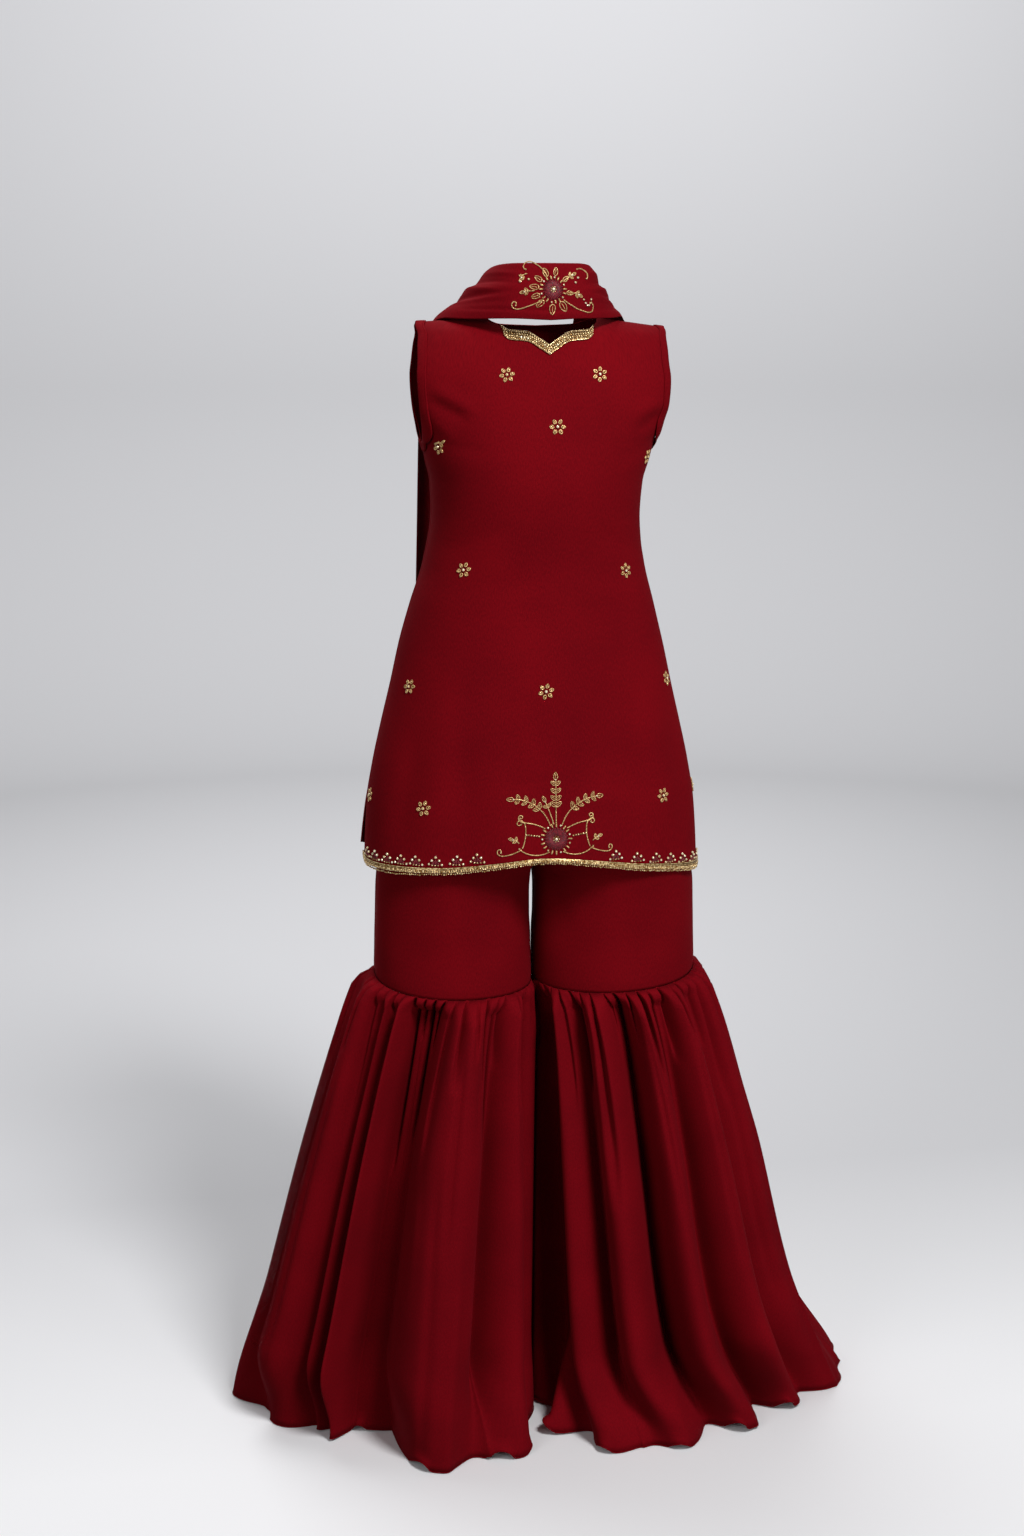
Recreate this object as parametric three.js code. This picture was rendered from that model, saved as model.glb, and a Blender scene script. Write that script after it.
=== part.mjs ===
// A gharara suit in the pose of a standing wearer, hollow: a sleeveless tunic (kurta) with side slits,
// trousers with a wide skirt gathered onto each knee (gharara), and a long scarf (dupatta) laid round the
// throat with both ends down the back. Every piece is a wall of cloth. Millimetres, +Z up.
// The wearer faces -Y, and +X is the wearer's left. The origin is midway between the shoulder seams,
// where the wearer carries the suit.
import * as THREE from "three";

const seamGap = 0.3; // between neighbouring pieces
const cloth = 1.5; // wall of tunic, trouser and scarf cloth
const casing = 3; // waistband folded over its elastic
const bandWall = 1; // armhole band
const bandWidth = 13;
const trimWall = 1.6; // beaded gold trim
const neckTrimWidth = 11.5;
const hemTrimWidth = 7;
const floorZ = -1474; // where the skirts meet the floor
const radians = Math.PI / 180;

const crimson = new THREE.MeshStandardMaterial({ color: 0x7a0614, roughness: 0.75, metalness: 0 });
const sheerCrimson = new THREE.MeshStandardMaterial({ color: 0x6d0815, roughness: 0.7, metalness: 0 });
const gold = new THREE.MeshStandardMaterial({ color: 0xb98a3e, roughness: 0.4, metalness: 0.7 });

// ---- helpers

const mix = (from, to, share) => from + (to - from) * share;
const clamp = (x, low, high) => Math.min(high, Math.max(low, x));
const smooth = (low, high, x) => {
  const t = clamp((x - low) / (high - low), 0, 1);
  return t * t * (3 - 2 * t);
};
const spread = (low, high, steps) => Array.from({ length: steps + 1 }, (_, i) => mix(low, high, i / steps));

// One named column of a table at a key between its rows, on a smooth curve that never overshoots.
function column(rows, key, name, at) {
  const last = rows.length - 1;
  const x = clamp(at, rows[0][key], rows[last][key]);
  let i = 0;
  while (i < last - 1 && x > rows[i + 1][key]) i++;
  const slope = (j) => (rows[j + 1][name] - rows[j][name]) / (rows[j + 1][key] - rows[j][key]);
  const tangent = (j) => {
    if (j === 0) return slope(0);
    if (j === last) return slope(last - 1);
    const before = slope(j - 1);
    const after = slope(j);
    return before * after <= 0 ? 0 : (2 * before * after) / (before + after);
  };
  const span = rows[i + 1][key] - rows[i][key];
  const t = (x - rows[i][key]) / span;
  const straight = mix(rows[i][name], rows[i + 1][name], t * t * (3 - 2 * t));
  return straight + span * t * (1 - t) * ((1 - t) * tangent(i) - t * tangent(i + 1));
}

// Outward normals of a grid of points, whose rows run anticlockwise seen from above and follow upward.
// A point on a seam plane, such as { y: 0 }, gets a normal in that plane, so the wall ends flush there.
const onPlane = 1; // a point this near to a plane is on it
function normalsOf(grid, { round = false, seams = {} } = {}) {
  const rows = grid.length;
  const columns = grid[0].length;
  return grid.map((row, j) =>
    row.map((point, i) => {
      const before = round ? row[(i + columns - 1) % columns] : row[Math.max(i - 1, 0)];
      const after = round ? row[(i + 1) % columns] : row[Math.min(i + 1, columns - 1)];
      const along = after.clone().sub(before);
      const up = grid[Math.min(j + 1, rows - 1)][i].clone().sub(grid[Math.max(j - 1, 0)][i]);
      const normal = along.cross(up);
      for (const [axis, plane] of Object.entries(seams))
        if (Math.abs(point[axis] - plane) < onPlane) normal[axis] = 0;
      return normal.normalize();
    }),
  );
}

// A closed wall on a grid of points, from low to high millimetres outside it. A round one closes on itself.
// crossed splits each cell of the grid along its other diagonal.
function wall(grid, normals, { low = -cloth, high = 0, round = false, crossed = false } = {}) {
  const positions = [];
  for (const height of [high, low])
    grid.forEach((row, j) =>
      row.forEach((point, i) => {
        positions.push(...point.clone().addScaledVector(normals[j][i], height).toArray());
      }),
    );
  const rows = grid.length;
  const columns = grid[0].length;
  const outer = (i, j) => j * columns + (i % columns);
  const inner = (i, j) => rows * columns + outer(i, j);
  const indices = [];
  const quad = (a, b, c, d) => indices.push(a, b, c, a, c, d);
  const cell = (a, b, c, d) => (crossed ? quad(b, c, d, a) : quad(a, b, c, d));
  const top = rows - 1;
  const end = columns - 1;
  for (let i = 0; i < (round ? columns : end); i++) {
    for (let j = 0; j < top; j++) {
      cell(outer(i, j), outer(i + 1, j), outer(i + 1, j + 1), outer(i, j + 1));
      cell(inner(i, j), inner(i, j + 1), inner(i + 1, j + 1), inner(i + 1, j));
    }
    quad(outer(i, 0), inner(i, 0), inner(i + 1, 0), outer(i + 1, 0));
    quad(outer(i, top), outer(i + 1, top), inner(i + 1, top), inner(i, top));
  }
  for (let j = 0; j < top && !round; j++) {
    quad(outer(0, j), outer(0, j + 1), inner(0, j + 1), inner(0, j));
    quad(outer(end, j), inner(end, j), inner(end, j + 1), outer(end, j + 1));
  }
  const geometry = new THREE.BufferGeometry();
  geometry.setAttribute("position", new THREE.Float32BufferAttribute(positions, 3));
  geometry.setIndex(indices);
  return geometry;
}

const suit = new THREE.Group();
function add(name, geometry, material) {
  const mesh = new THREE.Mesh(geometry, material);
  mesh.name = name;
  suit.add(mesh);
}

// ---- tunic

// Level sections. half: half width, as if the armhole were filled; front and back: depth from the shoulder
// line; shift: sideways place of the middle; edge: how far round the cloth reaches, in degrees from the
// centre line, where 90 is the side seam.
const shoulderZ = 6;
const underarmZ = -147;
const slitZ = -600;
const hemZ = -687;
const tunicSections = [
  { z: -725, half: 223, front: 133, back: 131, shift: -13, edge: 90 },
  { z: -687, half: 222, front: 131, back: 129, shift: -13, edge: 90 },
  { z: -619, half: 218, front: 127, back: 125, shift: -13, edge: 90 },
  { z: -564, half: 209, front: 124, back: 121, shift: -13, edge: 90 },
  { z: -510, half: 197, front: 121, back: 115, shift: -13, edge: 90 },
  { z: -457, half: 184, front: 118, back: 109, shift: -13, edge: 90 },
  { z: -404, half: 172, front: 114, back: 102, shift: -13, edge: 90 },
  { z: -352, half: 158, front: 110, back: 95, shift: -12, edge: 90 },
  { z: -300, half: 143, front: 109, back: 90, shift: -10, edge: 90 },
  { z: -235, half: 134, front: 115, back: 91, shift: -8, edge: 90 },
  { z: -197, half: 136, front: 118, back: 94, shift: -7, edge: 90 },
  { z: -170, half: 143, front: 116, back: 96, shift: -6, edge: 90 },
  { z: -147, half: 148, front: 112, back: 96, shift: -5, edge: 90 },
  { z: -144, half: 149, front: 111.3, back: 95.8, shift: -5, edge: 84 },
  { z: -135, half: 153, front: 109.2, back: 95, shift: -4, edge: 77 },
  { z: -120, half: 161, front: 105, back: 93, shift: -4, edge: 71 },
  { z: -96, half: 173, front: 99, back: 87, shift: -3, edge: 65.5 },
  { z: -60, half: 180, front: 87, back: 75, shift: -3, edge: 62.5 },
  { z: -47, half: 178, front: 81, back: 69, shift: -3, edge: 63 },
  { z: -22, half: 169, front: 67, back: 55, shift: -2, edge: 69 },
  { z: -7, half: 162, front: 54, back: 44, shift: -1, edge: 76 },
  { z: 1, half: 160, front: 36, back: 30, shift: -1, edge: 83 },
  { z: 5, half: 158, front: 17, back: 14, shift: -1, edge: 88 },
  { z: 6, half: 158, front: 0, back: 0, shift: -1, edge: 90 },
];

// Top edge of each panel at the neck, from the centre line (at 0) to the shoulder seam's inner end (at 1).
const neckEnd = 0.3; // the neck opening's share of the half panel
const frontNeck = [
  { at: 0, z: -27 },
  { at: 0.18, z: -20 },
  { at: 0.45, z: -11 },
  { at: 0.8, z: -9 },
  { at: 0.92, z: -3 },
  { at: 1, z: shoulderZ },
];
const backNeck = [
  { at: 0, z: -4 },
  { at: 0.7, z: -2 },
  { at: 1, z: shoulderZ },
];
// Bottom edge of each panel, from the wearer's right slit (at -1) to the left one (at 1).
const frontHem = [
  { at: -1, z: -680 },
  { at: -0.9, z: -687 },
  { at: -0.4, z: -682 },
  { at: 0, z: -668 },
  { at: 0.4, z: -688 },
  { at: 0.9, z: -706 },
  { at: 1, z: -702 },
];
const backHem = [
  { at: -1, z: -668 },
  { at: -0.6, z: -690 },
  { at: 0.4, z: -702 },
  { at: 1, z: -721 },
];
const hemBlendZ = -630; // the hem's waves fade out by here
const neckBlendZ = -50; // and the neckline's by here
const tipDrop = { right: 5, left: 12 }; // fall of each shoulder seam from the neck to its tip
const tipStart = 70; // where the shoulder seam starts to fall, from the middle
const tipSpan = 88;
const tunicCurve = 0.85; // how flat the sections are in front and behind: 1 is an ellipse
const flarePower = 3; // how suddenly a slit's corners flare sideways, near the edge
const partPower = 6; // and stand away from the other panel

// slitPart and slitFlare: how far the panel's corners stand away from the other panel, and sideways.
const frontPanel = { face: -1, depth: "front", neck: frontNeck, hem: frontHem, slitPart: 3, slitFlare: 0 };
const backPanel = { face: 1, depth: "back", neck: backNeck, hem: backHem, slitPart: 9, slitFlare: 5 };

// A point of a panel: across runs from -1 at the wearer's right edge to 1 at the left one, level is its
// height before the neckline and hem are shaped.
function tunicPoint(panel, across, level) {
  const away = Math.abs(across);
  let z = level;
  if (level > neckBlendZ && away < neckEnd) {
    const top = column(panel.neck, "at", "z", away / neckEnd);
    z = mix(neckBlendZ, top, (level - neckBlendZ) / (shoulderZ - neckBlendZ));
  }
  if (level < hemBlendZ) {
    const bottom = column(panel.hem, "at", "z", across);
    z = mix(hemBlendZ, bottom, (level - hemBlendZ) / (hemZ - hemBlendZ));
  }
  const angle = across * column(tunicSections, "z", "edge", z) * radians;
  const slit = clamp((slitZ - z) / (slitZ - hemZ), 0, 1);
  const half = column(tunicSections, "z", "half", z) + panel.slitFlare * slit * away ** flarePower;
  const x = column(tunicSections, "z", "shift", z) + half * Math.sin(angle);
  const round = Math.max(Math.cos(angle), 0) ** tunicCurve;
  const parted = panel.slitPart * slit * away ** partPower;
  const depth = column(tunicSections, "z", panel.depth, z) * round + parted;
  const drop = x < 0 ? tipDrop.right : tipDrop.left;
  const outward = clamp((Math.abs(x) - tipStart) / tipSpan, 0, 1);
  const fall = drop * outward * clamp((z - underarmZ) / -underarmZ, 0, 1);
  return new THREE.Vector3(x, panel.face * (depth + seamGap / 2), z - fall);
}

const armholeLevels = [underarmZ, -144, -135, -120, -96, -60, -22, -7, 1, 5, shoulderZ];
const neckColumns = [0.09, 0.18, 0.27];
const bothWays = (columns) => [...columns.map((across) => -across).reverse(), 0, ...columns];
const tunicColumns = bothWays([...neckColumns, neckEnd, 0.45, 0.6, 0.75, 0.9, 1]);
const tunicLevels = [hemZ, slitZ, -500, -400, -310, -235, -190, -160, ...armholeLevels];

function tunicGrid(panel, columns, levels) {
  const anticlockwise = panel.face < 0 ? columns : [...columns].reverse();
  return levels.map((level) => anticlockwise.map((across) => tunicPoint(panel, across, level)));
}
function tunicPanel(panel) {
  const grid = tunicGrid(panel, tunicColumns, tunicLevels);
  return wall(grid, normalsOf(grid, { seams: { y: 0 } }));
}
add("kurta_front", tunicPanel(frontPanel), crimson);
add("kurta_back", tunicPanel(backPanel), crimson);

// A strip that lies on the tunic: its two edges run through the panels' points, and its wall is outside.
function stripOnTunic(edges, thickness, options = {}) {
  return wall(edges, normalsOf(edges, options), { low: seamGap, high: seamGap + thickness, ...options });
}

// Armhole band: from the underarm up the front, over the shoulder and down the back, closed on itself.
// Each row of the table is a place on the armhole's edge, with the place on the panel, a band's width in
// from it, where the band's inner edge lies. ease: how far the band stands off where the armhole turns.
const bandStops = [
  { level: underarmZ, inAcross: 1, inLevel: underarmZ - bandWidth, ease: 0 },
  { level: -144, inAcross: 0.92, inLevel: -157, ease: 0.3 },
  { level: -135, inAcross: 0.85, inLevel: -145, ease: 2.6 },
  { level: -120, inAcross: 0.865, inLevel: -125, ease: 1.3 },
  { level: -96, inAcross: 0.9, inLevel: -97, ease: 0.1 },
  { level: -60, inAcross: 0.9, inLevel: -60, ease: 0 },
  { level: -22, inAcross: 0.88, inLevel: -22, ease: 0 },
  { level: -7, inAcross: 0.86, inLevel: -7, ease: 0 },
  { level: 1, inAcross: 0.83, inLevel: 1, ease: 0 },
  { level: 5, inAcross: 0.775, inLevel: 5, ease: 0 },
  { level: shoulderZ, inAcross: 0.74, inLevel: shoulderZ, ease: 0 },
];
function armholeBand(side) {
  const loop = [
    ...bandStops.map((stop) => ({ panel: frontPanel, ...stop })),
    ...bandStops.map((stop) => ({ panel: backPanel, ...stop })).reverse(),
  ];
  if (side > 0) loop.reverse();
  const edges = [1, 0.5, 0].map((share) =>
    loop.map(({ panel, level, inAcross, inLevel }) =>
      tunicPoint(panel, side * mix(1, inAcross, share), mix(level, inLevel, share)),
    ),
  );
  const normals = normalsOf(edges, { round: true });
  edges.forEach((row, j) => row.forEach((point, i) => point.addScaledVector(normals[j][i], loop[i].ease)));
  return stripOnTunic(edges, bandWall, { round: true, crossed: true });
}
add("armhole_band_right", armholeBand(-1), crimson);
add("armhole_band_left", armholeBand(1), crimson);

// Neck trim: along the front neckline as far as the scarf, with its upper edge on the cloth's.
function neckTrim() {
  const lower = (across) => {
    const top = column(frontNeck, "at", "z", Math.abs(across) / neckEnd);
    const share = (top - neckTrimWidth - neckBlendZ) / (top - neckBlendZ);
    return mix(neckBlendZ, shoulderZ, share);
  };
  const levels = armholeLevels.slice(-4);
  const edges = [lower, ...levels.map((level) => () => level)].map((levelAt) =>
    bothWays(neckColumns).map((across) => tunicPoint(frontPanel, across, levelAt(across))),
  );
  return stripOnTunic(edges, trimWall);
}
add("neck_trim", neckTrim(), gold);

// Hem trim: along the front hem from slit to slit.
function hemTrim() {
  const grid = tunicGrid(frontPanel, tunicColumns.slice(1, -1), [hemZ, hemZ + hemTrimWidth]);
  return stripOnTunic(grid, trimWall);
}
add("hem_trim", hemTrim(), gold);

// ---- trousers

// Level sections of one leg. inner and the outer width, right or left: from the plane between the legs.
// Where inner is below 0 the two legs are one at the hips, and each is cut off at that plane.
const centreX = -12; // the plane between the legs
const waistZ = -345;
const trouserSections = [
  { z: -861, inner: 1.2, right: 212, left: 222, front: 96, back: 96 },
  { z: -800, inner: 1.6, right: 209, left: 221, front: 96, back: 98 },
  { z: -770, inner: 3.2, right: 208, left: 220, front: 97, back: 100 },
  { z: -740, inner: 3.4, right: 207, left: 219, front: 98, back: 102 },
  { z: -705, inner: 0.5, right: 204, left: 213, front: 101, back: 103 },
  { z: -665, inner: -42, right: 200, left: 206, front: 104, back: 106 },
  { z: -600, inner: -112, right: 190, left: 194, front: 106, back: 108 },
  { z: -520, inner: -155, right: 175, left: 177, front: 102, back: 101 },
  { z: -430, inner: -150, right: 150, left: 150, front: 94, back: 90 },
  { z: waistZ, inner: -122, right: 122, left: 122, front: 84, back: 80 },
];
const kneeZ = -861;
const kneeRise = 16; // how much higher the knee seam is at the outer side
const kneePower = 3; // how suddenly it rises there
const waistbandHeight = 40;
const waistbandSides = 24;
const legColumns = 8;
const legCurve = 0.9; // how flat the rings are in front and behind: 1 is an ellipse

// A point of one side of a ring round a leg: face is -1 in front and 1 behind, share runs from the inner
// seam (0) to the outer one (1).
function ringPoint({ inner, outer, depth }, side, face, share, z) {
  const middle = (inner + outer) / 2;
  const reach = (outer - inner) / 2;
  const start = Math.acos(clamp(middle / reach, 0, 1));
  const angle = mix(start, Math.PI, share);
  const x = centreX + side * (middle - reach * Math.cos(angle) + seamGap / 2);
  const y = face * (depth * Math.max(Math.sin(angle), 0) ** legCurve + seamGap / 2);
  return new THREE.Vector3(x, y, z);
}
const kneeSeam = (share) => kneeZ + kneeRise * share ** kneePower;

const sides = { right: -1, left: 1 };
const faces = { front: -1, back: 1 };

function legPanel(sideName, faceName) {
  const side = sides[sideName];
  const face = faces[faceName];
  const levels = [kneeZ, -780, -705, -690, -665, -600, -520, -430, waistZ];
  const shares = spread(0, 1, legColumns);
  const grid = levels.map((level, j) => {
    const ring = {
      inner: column(trouserSections, "z", "inner", level),
      outer: column(trouserSections, "z", sideName, level),
      depth: column(trouserSections, "z", faceName, level),
    };
    const row = shares.map((share) => {
      const z = j === 0 ? kneeSeam(share) + seamGap / 2 : level;
      return ringPoint(ring, side, face, share, z);
    });
    return side * face < 0 ? row : row.reverse();
  });
  const normals = normalsOf(grid, { seams: { y: 0, x: centreX } });
  levelEnd(normals[0]);
  levelEnd(normals[levels.length - 1]);
  return wall(grid, normals);
}
// Turns a row of normals level, so the wall ends in a level face.
function levelEnd(row) {
  for (const normal of row) normal.setZ(0).normalize();
}

// Waistband: a closed ring that stands on the trousers' upper edge.
function waistband() {
  const around = spread(0, 360, waistbandSides).slice(0, -1);
  const { right, left, front, back } = trouserSections[trouserSections.length - 1];
  const half = (right + left) / 2;
  const grid = [waistZ + seamGap, waistZ + waistbandHeight].map((z) =>
    around.map((degrees) => {
      const depth = degrees < 180 ? back : front;
      const x = centreX + half * Math.cos(degrees * radians);
      return new THREE.Vector3(x, depth * Math.sin(degrees * radians), z);
    }),
  );
  return wall(grid, normalsOf(grid, { round: true }), { low: -casing, round: true });
}
add("gharara_waistband", waistband(), crimson);
for (const sideName of ["right", "left"])
  for (const faceName of ["front", "back"])
    add(`leg_${sideName}_${faceName}`, legPanel(sideName, faceName), crimson);

// ---- skirts gathered onto the knees

// Rings without their folds, by share of the way from the knee seam (0) to the hem (1).
const skirtRings = [
  { down: 0, inner: 1.2, right: 212, left: 222, front: 96, back: 96 },
  { down: 0.015, inner: 1.2, right: 225, left: 232, front: 107, back: 107 },
  { down: 0.045, inner: 1.4, right: 235, left: 241, front: 116, back: 116 },
  { down: 0.14, inner: 2, right: 256, left: 262, front: 126, back: 128 },
  { down: 0.38, inner: 2, right: 300, left: 301, front: 141, back: 148 },
  { down: 0.7, inner: 2, right: 351, left: 347, front: 161, back: 169 },
  { down: 0.87, inner: 2, right: 378, left: 388, front: 172, back: 180 },
  { down: 1, inner: 2, right: 391, left: 428, front: 180, back: 188 },
];
const skirtLevels = [0, 0.03, 0.09, 0.25, 0.5, 0.78, 0.91, 1];

// Folds from the inner seam to the outer one. knee, low and hem: the fold's share of the panel at the knee,
// low down and at the hem. crest and trough: how far its top stands out, and how far in the valley after it
// lies, low down; tip and dip: the same at the hem. lift: how far its hem clears the floor. bulge: how far
// it overhangs its valleys, as a share of its width.
const skirtFolds = {
  right_front: [
    { knee: 19, low: 17, hem: 20, crest: 0, trough: 46, tip: 4, dip: -4, lift: 4, bulge: 0 },
    { knee: 13, low: 15, hem: 13, crest: 28, trough: 34, tip: 52, dip: -24, lift: 0, bulge: 0.09 },
    { knee: 28, low: 26, hem: 20, crest: 28, trough: 96, tip: 22, dip: 94, lift: 0, bulge: 0.13 },
    { knee: 10, low: 12, hem: 16, crest: -96, trough: 96, tip: -92, dip: 92, lift: 2, bulge: 0 },
    { knee: 6, low: 6, hem: 8, crest: -4, trough: 56, tip: -52, dip: 84, lift: 3, bulge: -0.02 },
    { knee: 7, low: 7, hem: 8, crest: -16, trough: 50, tip: -62, dip: 72, lift: 3, bulge: -0.04 },
    { knee: 18, low: 18, hem: 16, crest: 15, trough: 8, tip: -30, dip: 20, lift: 0, bulge: 0.06 },
  ],
  left_front: [
    { knee: 7, low: 8, hem: 12, crest: -2, trough: 40, tip: 4, dip: 14, lift: 4, bulge: 0 },
    { knee: 7, low: 10, hem: 13, crest: -34, trough: 52, tip: 38, dip: 0, lift: 3, bulge: 0 },
    { knee: 12, low: 13, hem: 12, crest: 18, trough: 40, tip: 40, dip: -16, lift: 0, bulge: 0.09 },
    { knee: 18, low: 15, hem: 14, crest: 24, trough: 84, tip: 14, dip: 42, lift: 0, bulge: 0.09 },
    { knee: 16, low: 17, hem: 17, crest: 14, trough: 48, tip: -8, dip: 66, lift: 4, bulge: 0.04 },
    { knee: 13, low: 15, hem: 16, crest: 18, trough: 34, tip: -18, dip: 34, lift: 4, bulge: 0.06 },
    { knee: 27, low: 22, hem: 16, crest: 15, trough: 8, tip: 12, dip: -28, lift: 0, bulge: 0.06 },
  ],
  right_back: [
    { knee: 12, low: 13, hem: 14, crest: 5, trough: 30, tip: 6, dip: 26, lift: 2, bulge: 0.06 },
    { knee: 15, low: 15, hem: 15, crest: 24, trough: 52, tip: 30, dip: 56, lift: 0, bulge: 0.1 },
    { knee: 14, low: 16, hem: 16, crest: 27, trough: 34, tip: 34, dip: 32, lift: 6, bulge: 0.08 },
    { knee: 17, low: 15, hem: 14, crest: 20, trough: 60, tip: 22, dip: 66, lift: 0, bulge: 0.02 },
    { knee: 13, low: 15, hem: 15, crest: 25, trough: 40, tip: 34, dip: 40, lift: 4, bulge: 0.1 },
    { knee: 15, low: 14, hem: 12, crest: 21, trough: 36, tip: 42, dip: 0, lift: 0, bulge: 0.06 },
    { knee: 14, low: 12, hem: 14, crest: 15, trough: 8, tip: 22, dip: 20, lift: 0, bulge: 0.08 },
  ],
  left_back: [
    { knee: 11, low: 13, hem: 14, crest: 4, trough: 28, tip: 6, dip: 24, lift: 3, bulge: 0.06 },
    { knee: 16, low: 15, hem: 16, crest: 25, trough: 58, tip: 34, dip: 62, lift: 0, bulge: 0.1 },
    { knee: 13, low: 15, hem: 13, crest: 19, trough: 42, tip: 24, dip: 46, lift: 5, bulge: 0.02 },
    { knee: 15, low: 15, hem: 15, crest: 27, trough: 62, tip: 36, dip: 68, lift: 0, bulge: 0.1 },
    { knee: 16, low: 14, hem: 14, crest: 21, trough: 38, tip: 30, dip: 34, lift: 3, bulge: 0.06 },
    { knee: 14, low: 14, hem: 13, crest: 23, trough: 40, tip: 34, dip: 28, lift: 0, bulge: 0.08 },
    { knee: 15, low: 14, hem: 15, crest: 16, trough: 8, tip: 30, dip: -28, lift: 0, bulge: 0.08 },
  ],
};
const foldColumns = 4; // points across each fold
const lowDown = 0.8; // share of the way down up to which the folds only widen
const foldStart = 0.03; // the folds spring from the flat knee seam within this share of the way down
const kneeFold = 0.34; // and stand this much of their height low down there
const foldGrowth = 0.6; // below it they grow by this power of the way down
const bulgeGrowth = 3; // the overhang is whole at one part in this of the way down
const seamFade = 0.04; // share of the panel over which a fold turns flat to the seam's plane
// Where the two skirts lie against each other, both bend to one side and back together.
const sway = -7;
const swayLength = 150; // from one bend to the next
const swayLean = 0.35; // how far the bends shift from the knee to the hem, in bends
const swayEnd = 0.12; // they are whole this far down
const swayReach = 90; // and fade out this far from the plane between the legs

// Point of a skirt panel: fold and within count along the panel, down goes from the knee seam to the hem.
function skirtPoint(sideName, faceName, fold, within, down) {
  const side = sides[sideName];
  const face = faces[faceName];
  const folds = skirtFolds[`${sideName}_${faceName}`];
  const reached = Math.min(1, down / lowDown);
  const near = smooth(lowDown, 1, down);
  const sum = (name, rows) => rows.reduce((total, row) => total + row[name], 0);
  const boundary = (count) => {
    const shareOf = (name) => sum(name, folds.slice(0, count)) / sum(name, folds);
    return mix(mix(shareOf("knee"), shareOf("low"), Math.sqrt(reached)), shareOf("hem"), near);
  };
  const start = boundary(fold);
  const width = boundary(fold + 1) - start;
  const { crest, trough, tip, dip, lift, bulge } = folds[fold];
  const last = fold === 0 ? { trough: 0, dip: 0 } : folds[fold - 1];
  const rise = Math.sin(Math.PI * within) ** 2;
  const sprung = Math.min(1, down / foldStart);
  const growth = sprung < 1 ? sprung * kneeFold : mix(kneeFold, 1, reached ** foldGrowth);
  const top = mix(crest * growth, tip, near);
  const valley = mix(mix(last.trough, trough, within) * growth, mix(last.dip, dip, within), near);
  const height = top * rise - valley * (1 - rise);
  const overhang = bulge * Math.min(1, down * bulgeGrowth) * Math.sin(2 * Math.PI * within);
  const share = start + width * (within - overhang);
  const ring = {
    inner: column(skirtRings, "down", "inner", down),
    outer: column(skirtRings, "down", sideName, down),
    depth: column(skirtRings, "down", faceName, down),
  };
  const reach = (ring.outer - ring.inner) / 2;
  const angle = Math.PI * share;
  const seamZ = kneeSeam(share) - seamGap / 2;
  const point = ringPoint(ring, side, face, share, mix(seamZ, floorZ + lift * rise, down));
  const outward = new THREE.Vector3(-side * Math.cos(angle) * ring.depth, face * Math.sin(angle) * reach, 0);
  outward.normalize();
  outward.y *= clamp(Math.min(share, 1 - share) / seamFade, 0, 1);
  point.addScaledVector(outward, height);
  const turns = point.y / swayLength + swayLean * down;
  const bend = sway * smooth(0, swayEnd, down) * Math.sin(2 * Math.PI * turns);
  point.x += bend * clamp(1 - Math.abs(point.x - centreX) / swayReach, 0, 1) ** 2;
  return point;
}

function skirtPanel(sideName, faceName) {
  const folds = skirtFolds[`${sideName}_${faceName}`];
  const grid = [...skirtLevels].reverse().map((down) => {
    const row = [];
    for (let fold = 0; fold < folds.length; fold++)
      for (let k = 0; k < foldColumns; k++)
        row.push(skirtPoint(sideName, faceName, fold, k / foldColumns, down));
    row.push(skirtPoint(sideName, faceName, folds.length - 1, 1, down));
    return sides[sideName] * faces[faceName] < 0 ? row : row.reverse();
  });
  const normals = normalsOf(grid, { seams: { y: 0 } });
  levelEnd(normals[normals.length - 1]);
  return wall(grid, normals);
}
for (const sideName of ["right", "left"])
  for (const faceName of ["front", "back"])
    add(`flare_${sideName}_${faceName}`, skirtPanel(sideName, faceName), sheerCrimson);

// ---- scarf

// Stations along one half of the scarf, from the middle of the throat (0) to the end of the fall (10), with
// its outer edge, the lower one at the throat, and its inner edge. Widths are counted from the middle; the
// outer edge reaches further on the wearer's right shoulder than on the left.
const scarfStations = [
  { at: 0, right: 0, left: 0, outY: -86, outZ: 3, inX: 0, inY: -74, inZ: 71, pleat: 0.5 },
  { at: 1, right: 48, left: 46, outY: -76, outZ: 5, inX: 36, inY: -62, inZ: 71, pleat: 0.5 },
  { at: 2, right: 90, left: 80, outY: -48, outZ: 4.5, inX: 58, inY: -34, inZ: 68, pleat: 1 },
  { at: 3, right: 121, left: 101, outY: -12, outZ: 5.6, inX: 64, inY: 2, inZ: 62, pleat: 1.5 },
  { at: 4, right: 134, left: 114, outY: 25, outZ: -0.7, inX: 60, inY: 36, inZ: 42, pleat: 2.5 },
  { at: 5, right: 142, left: 128, outY: 52, outZ: -40, inX: 54, inY: 66, inZ: -10, pleat: 4 },
  { at: 6, right: 144, left: 138, outY: 85, outZ: -112, inX: 50, inY: 101, inZ: -92, pleat: 6 },
  { at: 7, right: 146, left: 144, outY: 104, outZ: -250, inX: 46, inY: 112, inZ: -245, pleat: 8 },
  { at: 8, right: 150, left: 150, outY: 114, outZ: -420, inX: 44, inY: 122, inZ: -420, pleat: 9 },
  { at: 9, right: 156, left: 156, outY: 128, outZ: -570, inX: 42, inY: 138, inZ: -572, pleat: 10 },
  { at: 10, right: 160, left: 160, outY: 142, outZ: -676, inX: 40, inY: 150, inZ: -682, pleat: 11 },
];
const lastStation = 10;
const shoulderStation = 3.5; // a fall starts here, on top of the shoulder
const scarfShift = -3; // the throat's middle, sideways
const pleatCount = 2.5;
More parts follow.
